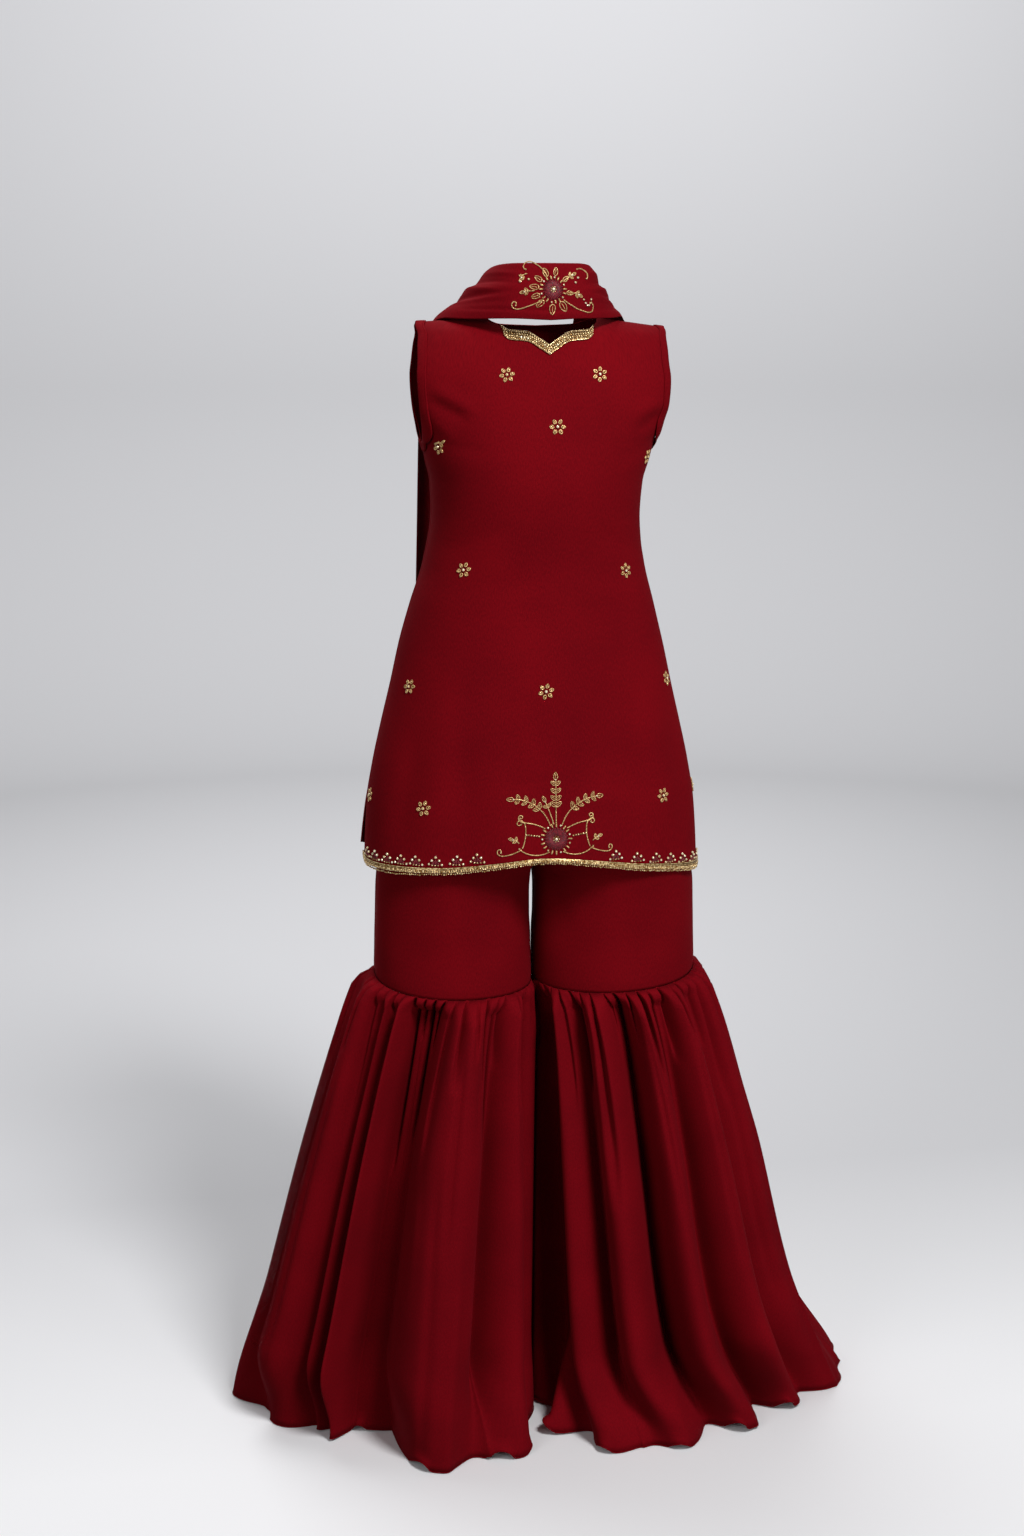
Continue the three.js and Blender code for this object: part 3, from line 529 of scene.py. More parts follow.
bandRight, stitchesRight = armholeBand("armholeBandRight", -1, "armhole_band_right")
bandLeft, stitchesLeft = armholeBand("armholeBandLeft", 1, "armhole_band_left")
threadPiece("bandTopstitching", stitchesRight + stitchesLeft, crepe)
print("armhole bands made")


# neck and hem trims

# For each trim: the rows of its braid, its lines of beads (place, radius, gap) and its lines of thread, with
# places in mm below the neckline or above the hem; then how far beads and thread stand off, how much the
# beads' sizes vary, and how flat they are.
trims = {
    "seed": 7,
    "out": 1.2,
    "neck": {
        "rows": (11.5, 8.6, 5.8, 2.9, 0.0),
        "beads": ((1.9, 1.35, 2.9), (4.6, 1.5, 3.2), (7.3, 1.35, 2.9), (9.9, 1.2, 2.5)),
        "threads": (0.4, 11.2),
        "lifts": (1.9, 1.9),
        "vary": (0.8, 1.12),
        "flat": 0.75,
        "threadRadius": 0.6,
    },
    "hem": {
        "rows": (0.0, 2.3, 4.7, 7.0),
        "beads": ((0.6, 1.0, 2.2), (2.4, 1.5, 3.1)),
        "threads": (4.6, 6.5),
        "lifts": (1.9, 2.1),
        "vary": (0.75, 1.15),
        "flat": 0.85,
        "threadRadius": 0.7,
    },
    "pearls": ((-0.17, 8.6), (-0.15, 8.8), (-0.13, 9.0), (-0.03, 5.0), (0.0, 9.6), (0.05, 7.0)),
    "fringe": {"from": 0.2, "lift": 1.3, "gap": 2.9, "drop": (1.4, 2.6), "size": (0.9, 1.35)},
    "bunch": {"x": -200, "wide": 26, "drop": 1.6},  # the fringe hangs lower near the right slit
}
rng = np.random.default_rng(trims["seed"])


# The level at which the front lies below mm under its neckline.
def neckLevel(across, below):
    top = column(neckLines["front"], "at", "z", np.abs(across) / kurta["neckEnd"])
    share = (top - below - kurta["neckBlendZ"]) / (top - kurta["neckBlendZ"])
    return mix(kurta["neckBlendZ"], kurta["shoulderZ"], share)


def hemLevel(across, above):
    return kurta["hemZ"] + above + 0 * across


# Points of the kurta's front moved out along its normal, with the normals.
def onFront(across, level, lift):
    return moveOut(frontSurface, across, level, 1e-3, 0.2, lift)


def evenRow(across, level, lift, gap):
    points, _ = onFront(across, level, lift)
    return onFront(*evenly(points, gap, np.stack([across, level], -1)).T, lift)


# A braid on the front's edge, and the lines of beads and thread that lie along it.
def edging(name, node, across, levelAt, look):
    grid = np.stack([frontSurface(across, levelAt(across, place)) for place in look["rows"]])
    piece = strip(name, grid, braidGround, node, trims["out"])
    parts = []
    for place, radius, gap in look["beads"]:
        centres, normals = evenRow(across, levelAt(across, place), look["lifts"][0], gap)
        parts.append(beads(centres, normals, radius * rng.uniform(*look["vary"], len(centres)), look["flat"]))
    for place in look["threads"]:
        points, normals = onFront(across, levelAt(across, place), look["lifts"][1])
        parts.append(thread(points, normals, look["threadRadius"]))
    return piece, parts


neckAcross, hemAcross = np.linspace(-0.272, 0.272, 161), np.linspace(-0.985, 0.985, 361)
neckTrim, neckParts = edging("neckBraid", "neck_trim", neckAcross, neckLevel, trims["neck"])
threadPiece("neckBeads", neckParts, goldBeads)
across, below = np.transpose(trims["pearls"])
pearls = beads(*onFront(across, neckLevel(across, below), 2.8), 1.7, 0.8)
threadPiece("neckPaleBeads", [pearls], paleBeads)

hemTrim, hemParts = edging("hemBraid", "hem_trim", hemAcross, hemLevel, trims["hem"])
# A fringe of single beads hangs under the edge.
fringe, bunch = trims["fringe"], trims["bunch"]
centres, normals = evenRow(hemAcross, hemLevel(hemAcross, fringe["from"]), fringe["lift"], fringe["gap"])
drop = rng.uniform(*fringe["drop"], len(centres))
centres[:, 2] -= drop + bunch["drop"] * bell((centres[:, 0] - bunch["x"]) / bunch["wide"])
hemParts.append(beads(centres, normals, rng.uniform(*fringe["size"], len(centres)), 1.0))
threadPiece("hemBeads", hemParts, goldBeads)
print("trims made")


# embroidery: motifs are lists of flat lines and beads in mm, worked out from circles, loops and spirals. A
# lean is an angle from straight up, outward; side is -1 toward the wearer's right and 1 toward the left.


# A leaf-shaped loop: (long/2 cos t, wide/2 sin t (1 - 0.25 cos t)), turned and moved.
def loop(cx, cy, long, wide, turn, points=14):
    t = np.linspace(0, 2 * np.pi, points, endpoint=False)
    a, b = long / 2 * np.cos(t), wide / 2 * np.sin(t) * (1 - 0.25 * np.cos(t))
    c, s = math.cos(turn), math.sin(turn)
    return np.stack([cx + a * c - b * s, cy + a * s + b * c], -1)


# A stem that may curl up at its end: its lean changes by bend over the stem, and by curling over the last
# part, where the steps grow shorter. The steps are summed.
def stem(side, x, y, lean, long, bend=0.0, curling=0.0, points=44):
    t = np.linspace(0, 1, points)
    angle = lean + bend * t + curling * smooth(0.42, 1.0, t) * t
    step = long / (points - 1) * (1 - (0.55 if curling else 0) * smooth(0.5, 1, t))
    line = np.stack([x + np.cumsum(step * np.sin(angle)), y + np.cumsum(step * np.cos(angle))], -1)
    return line * [side, 1], angle


# Points evenly round a circle, the first one at turn.
def around(count, radius, turn=0.0):
    a = turn + np.arange(count) * 2 * np.pi / count
    return radius * np.stack([np.cos(a), np.sin(a)], -1)


# Lines of gilt wire and red thread, each (points, radius, closed), and gilt and pale beads, (x, y, radius).
class Motif:
    def __init__(self):
        self.gold, self.red, self.beads, self.pearls = [], [], [], []

    # Six sewn ovals, each a ring of wire round a small bead, about a pale bead.
    def flower(self, size, turn):
        for k, (x, y) in enumerate(around(6, 0.7 * size, turn)):
            self.gold.append((loop(x, y, 0.48 * size, 0.34 * size, turn + k * np.pi / 3, 12), 0.85, True))
            self.beads.append((x, y, 1.0))
        self.pearls.append((0, 0, 0.21 * size))

    # Spokes of red satin stitch in a ring of short bars and beads, with a pale bead in the middle.
    def rosette(self, size, spokes):
        for k, out in enumerate(around(spokes * 2, 1.0, np.pi / spokes / 2)):
            inner, outer = (0.24, 0.84) if k % 2 else (0.36, 0.76)
            self.red.append((np.outer(np.array([inner, (inner + outer) / 2, outer]) * size, out), 0.8, False))
        for k, out in enumerate(around(spokes, 1.0)):
            if k % 3 == 1:
                self.pearls.append((*(out * size), 1.35))
            else:
                self.gold.append((np.outer([0.88 * size, size, 1.1 * size], out), 1.05, False))
        self.beads += [(x, y, 1.0) for x, y in around(7, 0.2 * size)]
        self.pearls.append((0, 0, 2.2))

    # A looped leaf with a thread down its middle.
    def leaf(self, x, y, lean, long, side=1):
        cx, cy = x * side + 0.5 * long * math.sin(lean) * side, y + 0.5 * long * math.cos(lean)
        turn = math.pi / 2 - lean * side
        self.gold.append((loop(cx, cy, long, 0.56 * long, turn), 0.58, True))
        half = np.array([math.cos(turn), math.sin(turn)]) * 0.28 * long
        self.gold.append((np.array([[cx, cy] - half, [cx, cy], [cx, cy] + half]), 0.5, False))

    # A stem with pairs of looped leaves from bare of its length on, and one at its tip.
    def sprig(self, side, x, y, lean, long, bend, leaves, leaf, bare):
        line, angle = stem(side, x, y, lean, long, bend)
        self.gold.append((line, 0.72, False))
        for k in range(int(leaves)):
            share = mix(bare, 0.9, k / max(leaves - 1, 1))
            i = int(share * (len(line) - 1))
            for turn in (-0.95, 0.95):
                self.leaf(line[i, 0] * side, line[i, 1], angle[i] + turn, leaf * mix(1.0, 0.78, share), side)
            self.beads.append((*line[i], 1.15))
        self.leaf(line[-1, 0] * side, line[-1, 1], angle[-1], leaf, side)
        self.pearls.append((*line[-1], 1.3))

    def scroll(self, side, x, y, lean, long, bend, curling):
        line, _ = stem(side, x, y, lean, long, bend, curling)
        self.gold.append((line, 0.75, False))
        self.beads.append((*line[-1], 1.3))

    # A small pyramid of beads over strokes of red thread.
    def pyramid(self, size, lean):
        for x, y, radius in pyramidBeads:
            self.pearls.append(((x + lean * y) * size, y * size, radius * size))
        for x in (-0.42, 0.0, 0.42):
            self.beads.append((x * size, 0.08 * size, 0.12 * size))
        for k in range(-2, 3):
            x, tall = k * 0.24 * size, size * (0.82 - 0.2 * abs(k))
            stroke = [[x, 0.1 * size], [x, tall / 2], [x * 0.8 + lean * tall, tall]]
            self.red.append((np.array(stroke), 0.8, False))

    # The motif on a surface, as parts for gold lines, red lines, beads and pale beads.
    def laid(self, place):
        parts = []
        for lines in (self.gold, self.red):
            parts.append([thread(*place(line, r * 0.75), r, 5, closed) for line, r, closed in lines])
        for spots in (self.beads, self.pearls):
            spots = np.array(spots, float).reshape(-1, 3)
            parts.append([beads(*place(spots[:, :2], spots[:, 2] * 0.7), spots[:, 2], 0.85)])
        return parts


pyramidBeads = ((0, 1.2, 0.2), (-0.5, 0.74, 0.19), (0.52, 0.78, 0.19), (-0.88, 0.22, 0.17), (0.9, 0.2, 0.17))


# The front by height: z below the waves' start is stretched to the level that the hem's waves move there.
def frontAt(across, z):
    bottom = column(hemLines["front"], "at", "z", across)
    blend = kurta["hemBlendZ"]
    low = blend + (z - blend) * (kurta["hemZ"] - blend) / (bottom - blend)
    return frontSurface(across, np.where(z < blend, low, z))


# A place on the front rise mm above its hem.
def hemChart(across, rise):
    return chart(frontAt, across, float(column(hemLines["front"], "at", "z", np.array([across]))[0]) + rise)


embroidery = {"gold": [], "red": [], "beads": [], "pearls": []}


def stitch(motif, place):
    for kind, parts in zip(embroidery, motif.laid(place)):
        embroidery[kind].extend(parts)


# Small flowers on the front: place across and level, half width in mm, and turn in degrees.
flowers = table(
    "across level size turn",
    (-0.28, -62, 9.6, 10), (0.32, -62, 9.8, 24), (0.03, -124, 10.2, 0), (-0.72, -150, 9.6, 18),
    (0.74, -165, 9.6, 5), (-0.5, -300, 9.8, 12), (0.52, -305, 9.6, 28), (0.0, -450, 10.2, 16),
    (-0.72, -450, 9.6, 7), (0.76, -450, 9.6, 20), (-0.5, -600, 10.2, 14), (0.52, -595, 9.8, 3),
    (-0.93, -598, 9.4, 25), (0.93, -600, 9.4, 15),
)
for across, level, size, turn in zip(*flowers.values()):
    motif = Motif()
    motif.flower(size, math.radians(turn))
    stitch(motif, chart(frontAt, across, level))

# A spray over the middle of the hem: a rosette, leafy sprigs and scrolls on either side of it. Places are in
# mm from the rosette's middle.
spray = {"across": 0.035, "rise": 30, "rosette": 18, "spokes": 20, "pyramid": 9.5, "pyramidRise": 9}
spraySprigs = table(
    "x y lean long bend leaves leaf bare",
    (7, 16, 0.3, 64, 1.25, 4, 9, 0.42), (48, -4, 0.7, 9, 0.6, 1, 6, 0.5),
)
sprayScrolls = table(
    "x y lean long bend curling",
    (13, 13, 1.05, 62, 0.9, -7.2), (44, -12, -0.4, 62, 1.1, 4.9), (8, -16, 2.1, 42, -1.3, 0),
    (44, -12, 2.1, 52, -0.9, -4.7),
)
centre = Motif()
centre.rosette(spray["rosette"], spray["spokes"])
centre.sprig(1, 0, 17, 0.0, 58, 0.0, 4, 9.5, 0.42)
centre.sprig(-1, 3, 18, 0.25, 32, 0.2, 1, 7.5, 0.75)
for side in (-1, 1):
    for row in zip(*spraySprigs.values()):
        centre.sprig(side, *row)
    for row in zip(*sprayScrolls.values()):
        centre.scroll(side, *row)
    centre.beads += [(side * (22 + 3.3 * k), 4 + 0.5 * k, 1.25) for k in range(6)]
stitch(centre, hemChart(spray["across"], spray["rise"]))

# Beaded pyramids along the rest of the hem: place across and lean.
pyramids = table(
    "across lean",
    (-0.9, 0.1), (-0.8, -0.08), (-0.7, 0.06), (-0.61, 0.02), (-0.525, -0.1), (-0.435, 0.05), (-0.345, 0.08),
    (-0.26, -0.06), (0.27, 0.04), (0.37, -0.08), (0.46, 0.06), (0.55, 0.02), (0.65, -0.1), (0.76, 0.05),
    (0.88, 0.02),
)
for across, lean in zip(*pyramids.values()):
    motif = Motif()
    motif.pyramid(spray["pyramid"], lean)
    stitch(motif, hemChart(across, spray["pyramidRise"]))
print("kurta embroidery laid:", len(embroidery["gold"]), "gold lines")


# trousers

trouserSections = table(
    "z inner right left front back",
    (-861, 1.2, 212, 222, 96, 96), (-800, 1.6, 209, 221, 96, 98), (-770, 3.2, 208, 220, 97, 100),
    (-740, 3.4, 207, 219, 98, 102), (-705, 0.5, 204, 213, 101, 103), (-665, -42, 200, 206, 104, 106),
    (-600, -112, 190, 194, 106, 108), (-520, -155, 175, 177, 102, 101), (-430, -150, 150, 150, 94, 90),
    (-345, -122, 122, 122, 84, 80),
)
trousers = {
    "centreX": -12,
    "waistZ": -345,
    "waistband": 40,
    "waistHalf": 122,
    "waistDepth": {"front": 84, "back": 80},
    "kneeZ": -861,
    "kneeRise": 16,
    "flutes": ((1.5, 1.6, 0.12), (0.8, 3.3, 0)),  # height, number across a panel, and drift up the leg
    "drag": {"high": 1.6, "across": 0.16, "up": 0.34, "wide": 0.05, "rise": 0.25, "tall": 0.1},
    "kneePull": (0.9, 0.012),  # depth and share of the leg drawn in at the knee seam
    "gatherDeep": 2.6,  # ripples of the cloth under the elastic
    "gatherMm": 17,
    "puff": (0.9, 34, 1.1, 5),  # the waistband's gathers: height, number, and their unevenness
}


# A piece's name from its kind and its panel, such as legRightFront.
def panelName(kind, panel):
    return kind + panel[0].upper() + panel[1:]


def kneeSeam(share):
    return trousers["kneeZ"] + trousers["kneeRise"] * share**3


# One side of a ring round a leg: (middle - reach cos a, depth (sin a)^0.9), from the inner seam to the outer.
def ringPoints(inner, outer, depth, panel, share, z):
    side, face = (signs[name] for name in panels[panel])
    middle, reach = (inner + outer) / 2, (outer - inner) / 2
    angle = mix(np.arccos(np.clip(middle / reach, 0, 1)), np.pi, share)
    x = trousers["centreX"] + side * (middle - reach * np.cos(angle) + seam)
    y = face * (depth * np.maximum(np.sin(angle), 0) ** 0.9 + seam)
    outward = unit(np.stack([-side * np.cos(angle) * depth, face * np.sin(angle) * reach, 0 * x], -1))
    return np.stack([x, y, np.broadcast_to(z, x.shape)], -1), outward


# rise is 0 at the knee seam and 1 at the waist. There are upright flutes, h sin(2 pi (n share + drift rise) +
# phase), a slanting drag line, ripples under the elastic, and a pull at the knee seam.
def legSurface(panel, share, rise):
    side, face = panels[panel]
    share, rise = np.broadcast_arrays(np.asarray(share, float), np.asarray(rise, float))
    level = mix(trousers["kneeZ"], trousers["waistZ"], rise)
    inner, outer, depth = (column(trouserSections, "z", n, level) for n in ("inner", side, face))
    z = mix(kneeSeam(share), trousers["waistZ"], rise)
    points, outward = ringPoints(inner, outer, depth, panel, share, z)
    phase = 1.3 * signs[side] + 0.7 * signs[face]
    flutes = 0
    for (high, count, drift), turn in zip(trousers["flutes"], (phase, -phase)):
        flutes = flutes + high * np.sin(2 * np.pi * (count * share + drift * rise) + turn)
    flutes = flutes * smooth(0, 0.12, rise) * (1 - 0.6 * rise)
    line = trousers["drag"]
    drag = bell((share - line["across"] - 0.5 * (line["up"] - rise)) / line["wide"])
    drag = -line["high"] * drag * bell((rise - line["rise"]) / line["tall"])
    girth, top = 0.5 * np.pi * (outer - np.minimum(inner, 0)), smooth(0.72, 1.0, rise)
    ripples = trousers["gatherDeep"] * (np.sin(2 * np.pi * share * girth / trousers["gatherMm"]) - 1) * top
    deep, tall = trousers["kneePull"]
    fade = np.clip(np.minimum(share, 1 - share) / 0.06, 0, 1)
    height = (flutes + drag + ripples) * fade - deep * bell(rise / tall)
    return points + outward * height[..., None]


def orient(points, panel):
    side, face = panels[panel]
    return points if signs[side] * signs[face] < 0 else points[:, ::-1]


for panel, (side, face) in panels.items():
    rise = np.concatenate([np.linspace(0, 0.36, 46)[:-1], np.linspace(0.36, 1, 40)])
    points = orient(legSurface(panel, np.linspace(0, 1, 72)[None], rise[:, None]), panel)
    gridPiece(panelName("leg", panel), points, crepe, [f"leg_{side}_{face}"])


# A casing on elastic: a flat loop of cloth carried round the waist, (t/2 cos b, h/2 sin b) squared off, with
# shallow gathers that are deepest between the edges.
def waistband():
    around = np.linspace(0, 2 * np.pi, 240, endpoint=False)
    turn = np.linspace(0, 2 * np.pi, 24, endpoint=False)[:, None]
    half, depths = trousers["waistHalf"], trousers["waistDepth"]
    depth = np.where(around < np.pi, depths["back"], depths["front"])
    ring = np.stack([trousers["centreX"] + half * np.cos(around), depth * np.sin(around), 0 * around], -1)
    outward = unit(np.stack([np.cos(around) * depth, np.sin(around) * half, 0 * around], -1))
    high, count, uneven, waves = trousers["puff"]
    puff = high * np.sin(around * count + uneven * np.sin(around * waves))
    across, up = (np.sign(x) * np.abs(x) ** 0.35 for x in (np.cos(turn), np.sin(turn)))
    out = -1.9 + 1.1 * across + puff * (1 - 0.4 * np.abs(np.sin(turn)))
    points = ring + outward * out[..., None]
    points[..., 2] = trousers["waistZ"] + trousers["waistband"] / 2 * (1 + up)
    return points


points = waistband()
faces = [gridFaces(*points.shape[:2], True, True)]
waist = makePiece("waistband", points, faces, crepe, ["gharara_waistband"])
print("trousers made")


# skirts

skirtRings = table(
    "down inner right left front back",
    (0, 1.2, 212, 222, 96, 96), (0.015, 1.2, 225, 232, 107, 107), (0.045, 1.4, 235, 241, 116, 116),
    (0.14, 2, 256, 262, 126, 128), (0.38, 2, 300, 301, 141, 148), (0.7, 2, 351, 347, 161, 169),
    (0.87, 2, 378, 388, 172, 180), (1, 2, 391, 428, 180, 188),
)
# Folds from the inner seam to the outer one: share of the panel at the knee, low down and at the hem; how far
# the crest stands out and the next valley lies in, low down and then (tip, dip) at the hem; how far the hem
# clears the floor; and how far the fold overhangs its valleys, as a share of its width.
skirtFolds = tables(
    "knee low hem crest trough tip dip lift bulge",
    rightFront=(
        (19, 17, 20, 0, 46, 4, -4, 4, 0), (13, 15, 13, 28, 34, 52, -24, 0, 0.09),
        (28, 26, 20, 28, 96, 22, 94, 0, 0.13), (10, 12, 16, -96, 96, -92, 92, 2, 0),
        (6, 6, 8, -4, 56, -52, 84, 3, -0.02), (7, 7, 8, -16, 50, -62, 72, 3, -0.04),
        (18, 18, 16, 15, 8, -30, 20, 0, 0.06),
    ),
    leftFront=(
        (7, 8, 12, -2, 40, 4, 14, 4, 0), (7, 10, 13, -34, 52, 38, 0, 3, 0),
        (12, 13, 12, 18, 40, 40, -16, 0, 0.09), (18, 15, 14, 24, 84, 14, 42, 0, 0.09),
        (16, 17, 17, 14, 48, -8, 66, 4, 0.04), (13, 15, 16, 18, 34, -18, 34, 4, 0.06),
        (27, 22, 16, 15, 8, 12, -28, 0, 0.06),
    ),
    rightBack=(
        (12, 13, 14, 5, 30, 6, 26, 2, 0.06), (15, 15, 15, 24, 52, 30, 56, 0, 0.1),
        (14, 16, 16, 27, 34, 34, 32, 6, 0.08), (17, 15, 14, 20, 60, 22, 66, 0, 0.02),
        (13, 15, 15, 25, 40, 34, 40, 4, 0.1), (15, 14, 12, 21, 36, 42, 0, 0, 0.06),
        (14, 12, 14, 15, 8, 22, 20, 0, 0.08),
    ),
    leftBack=(
        (11, 13, 14, 4, 28, 6, 24, 3, 0.06), (16, 15, 16, 25, 58, 34, 62, 0, 0.1),
        (13, 15, 13, 19, 42, 24, 46, 5, 0.02), (15, 15, 15, 27, 62, 36, 68, 0, 0.1),
        (16, 14, 14, 21, 38, 30, 34, 3, 0.06), (14, 14, 13, 23, 40, 34, 28, 0, 0.08),
        (15, 14, 15, 16, 8, 30, -28, 0, 0.08),
    ),
)
# Gathers under the knee seam: place along the seam, half width and depth in mm, and how far down they reach.
gathers = tables(
    "at wide deep long",
    rightFront=(
        (0.03, 4, 5.4, 70), (0.075, 3.6, 6.9, 110), (0.115, 3.4, 5.1, 46), (0.155, 4.2, 8.4, 150),
        (0.205, 3.4, 5.1, 52), (0.245, 4.4, 9.3, 95), (0.3, 4.8, 7.8, 60), (0.335, 3.2, 6.0, 120),
        (0.385, 5, 9.9, 84), (0.43, 3.4, 5.4, 44), (0.475, 4.6, 10.2, 70), (0.515, 3.4, 6.6, 170),
        (0.56, 4.2, 7.5, 56), (0.6, 3.6, 8.7, 130), (0.64, 3.4, 5.1, 40), (0.685, 4.4, 9.0, 160),
        (0.735, 3.6, 6.3, 62), (0.775, 4.2, 8.1, 105), (0.82, 3.4, 5.4, 50), (0.865, 4.2, 7.2, 140),
        (0.91, 3.4, 5.7, 58), (0.955, 4, 6.3, 90),
    ),
    leftFront=(
        (0.035, 4.2, 6.0, 64), (0.085, 3.8, 7.2, 150), (0.13, 4.6, 9.6, 74), (0.175, 3.2, 5.1, 40),
        (0.215, 4, 7.5, 120), (0.265, 4.8, 10.2, 88), (0.31, 3.4, 5.7, 50), (0.35, 4.2, 7.8, 180),
        (0.405, 3.6, 5.7, 58), (0.445, 4.4, 9.0, 104), (0.49, 3.4, 6.6, 46), (0.535, 4.6, 9.6, 80),
        (0.575, 3.4, 5.4, 140), (0.625, 4.4, 8.7, 66), (0.67, 3.4, 5.7, 48), (0.71, 4.2, 8.4, 150),
        (0.76, 3.8, 6.6, 60), (0.8, 3.4, 6.9, 112), (0.85, 4.2, 6.9, 54), (0.9, 3.6, 6.3, 130),
        (0.95, 3.8, 6.0, 72),
    ),
    rightBack=(
        (0.04, 4, 5.7, 80), (0.09, 4.2, 8.1, 130), (0.135, 3.4, 5.4, 48), (0.18, 4.4, 9.0, 90),
        (0.23, 3.6, 6.3, 160), (0.275, 4.6, 9.3, 70), (0.32, 3.4, 5.4, 44), (0.37, 4.2, 8.4, 140),
        (0.42, 3.6, 6.0, 56), (0.46, 4.6, 9.9, 96), (0.51, 3.4, 6.3, 120), (0.555, 4.4, 8.7, 64),
        (0.605, 3.4, 5.7, 50), (0.65, 4.2, 8.1, 150), (0.7, 3.6, 6.3, 62), (0.75, 4.4, 8.4, 100),
        (0.8, 3.4, 5.7, 46), (0.85, 4.2, 7.5, 130), (0.9, 3.6, 6.0, 60), (0.95, 4, 6.6, 84),
    ),
    leftBack=(
        (0.035, 3.8, 5.7, 60), (0.08, 4.4, 8.4, 120), (0.13, 3.6, 6.0, 54), (0.175, 4.4, 9.3, 140),
        (0.225, 3.4, 5.4, 46), (0.27, 4.2, 8.1, 86), (0.315, 3.8, 6.6, 160), (0.365, 4.6, 9.6, 72),
        (0.41, 3.4, 5.7, 50), (0.455, 4.2, 7.8, 130), (0.505, 3.6, 6.6, 60), (0.55, 4.6, 9.0, 98),
        (0.6, 3.4, 5.4, 44), (0.645, 4.4, 8.7, 150), (0.695, 3.6, 6.0, 58), (0.74, 4.2, 7.8, 110),
        (0.79, 3.8, 6.9, 66), (0.835, 3.4, 5.7, 140), (0.885, 4.2, 7.2, 70), (0.94, 3.8, 6.3, 92),
    ),
)
# Long soft creases: share of the panel at the knee and at the hem, half width and height at the hem in mm
# (below 0 for a trough), and the shares of the way down where they start and end.
skirtCreases = tables(
    "knee hem wide high start end",
    rightFront=(
        (0.25, 0.23, 7, -5, 0.02, 0.5), (0.46, 0.46, 9, -10, -0.1, 0.6), (0.39, 0.4, 8, -6, 0.02, 0.36),
        (0.53, 0.47, 9, -5, 0.3, 1.1), (0.43, 0.42, 14, 5, 0.45, 1.2), (0.57, 0.52, 7, 4, 0.1, 0.7),
        (0.66, 0.6, 6, -4, 0.05, 0.5), (0.9, 0.9, 9, -6, 0.1, 0.9), (0.94, 0.95, 7, 5, 0.3, 1.1),
    ),
    leftFront=(
        (0.2, 0.3, 7, -4, 0.03, 0.5), (0.31, 0.42, 8, -6, 0.02, 0.4), (0.37, 0.46, 9, 5, 0.3, 1.1),
        (0.5, 0.56, 8, -7, 0.02, 0.55), (0.56, 0.62, 8, 5, 0.4, 1.2), (0.66, 0.7, 7, -6, 0.05, 0.7),
        (0.8, 0.84, 9, -8, 0.02, 0.8), (0.87, 0.9, 8, 6, 0.2, 1.1), (0.93, 0.94, 7, -5, 0.1, 0.9),
    ),
    rightBack=(
        (0.12, 0.13, 9, -5, 0.05, 0.8), (0.24, 0.27, 11, 6, 0.2, 1.1), (0.35, 0.36, 8, -5, 0.03, 0.6),
        (0.48, 0.5, 10, 6, 0.1, 1.1), (0.6, 0.63, 9, -6, 0.05, 0.9), (0.73, 0.74, 10, 5, 0.25, 1.1),
        (0.86, 0.87, 8, -4, 0.06, 0.8),
    ),
    leftBack=(
        (0.14, 0.15, 10, 5, 0.12, 1.1), (0.27, 0.28, 9, -6, 0.04, 0.75), (0.4, 0.43, 12, 7, 0.25, 1.1),
        (0.52, 0.53, 8, -5, 0.05, 0.65), (0.64, 0.66, 10, 6, 0.15, 1.1), (0.78, 0.79, 9, -5, 0.05, 0.9),
        (0.89, 0.9, 8, 4, 0.2, 1.1),
    ),
)
# Small arches where the hem lifts off the floor: share of the panel, half width and height.
hemArches = tables(
    "at wide high",
    rightFront=((0.24, 17, 6), (0.31, 24, 10), (0.47, 19, 9), (0.66, 34, 7)),
    leftFront=((0.17, 28, 13), (0.3, 22, 7), (0.44, 26, 6), (0.57, 24, 10), (0.73, 20, 8)),
    rightBack=((0.2, 24, 8), (0.42, 20, 9), (0.66, 26, 7)),
    leftBack=((0.24, 26, 9), (0.5, 20, 7), (0.72, 24, 9)),
)
skirt = {
    "lowDown": 0.8,  # share of the way down up to which the folds only widen; below it they move to the hem's
    "foldStart": 0.03,  # the folds spring from the flat knee seam within this share of the way down
    "kneeFold": 0.34,  # and stand this much of their height there
    "foldGrowth": 0.6,  # below it they grow by this power of the way down
    "bulgeGrowth": 3,
    "hemBulge": 0.6,  # how much of their overhang is left at the hem
    "seamFade": 0.04,
    "sway": -7,  # how far both skirts bend to one side together where they lie against each other
    "swayMm": 150,
    "swayFade": 90,
    "kneeGirth": 330,  # the seam's length round a panel, on which the gathers are spaced
    "gatherDeep": 2.4,
    "gatherLong": 1.6,
    "gatherStart": 7,  # mm below the seam over which a gather deepens
    "gatherWide": (0.372, 0.18, 22, 0.33),  # width at the seam, its gain by 22 mm down, and a long one's gain
    "longGather": (80, 110),  # a gather counts as long between these lengths
    "swell": (0.8, 60),  # the cloth between gathers stands out, and settles this far down
    "columns": 240,  # points across a panel, shared among the folds by their widths
    "rows": 92,
    "hemKick": 0.6,  # how far an arch of the hem turns out, for each mm that it rises
    "arch": 1.4,
    "corner": (9, 0.945, 0.035, 0.7),  # rounds the hem out beside the outer seam: height, place, width, start
    "wall": 0.7,
    "rollMm": 0.8,
}


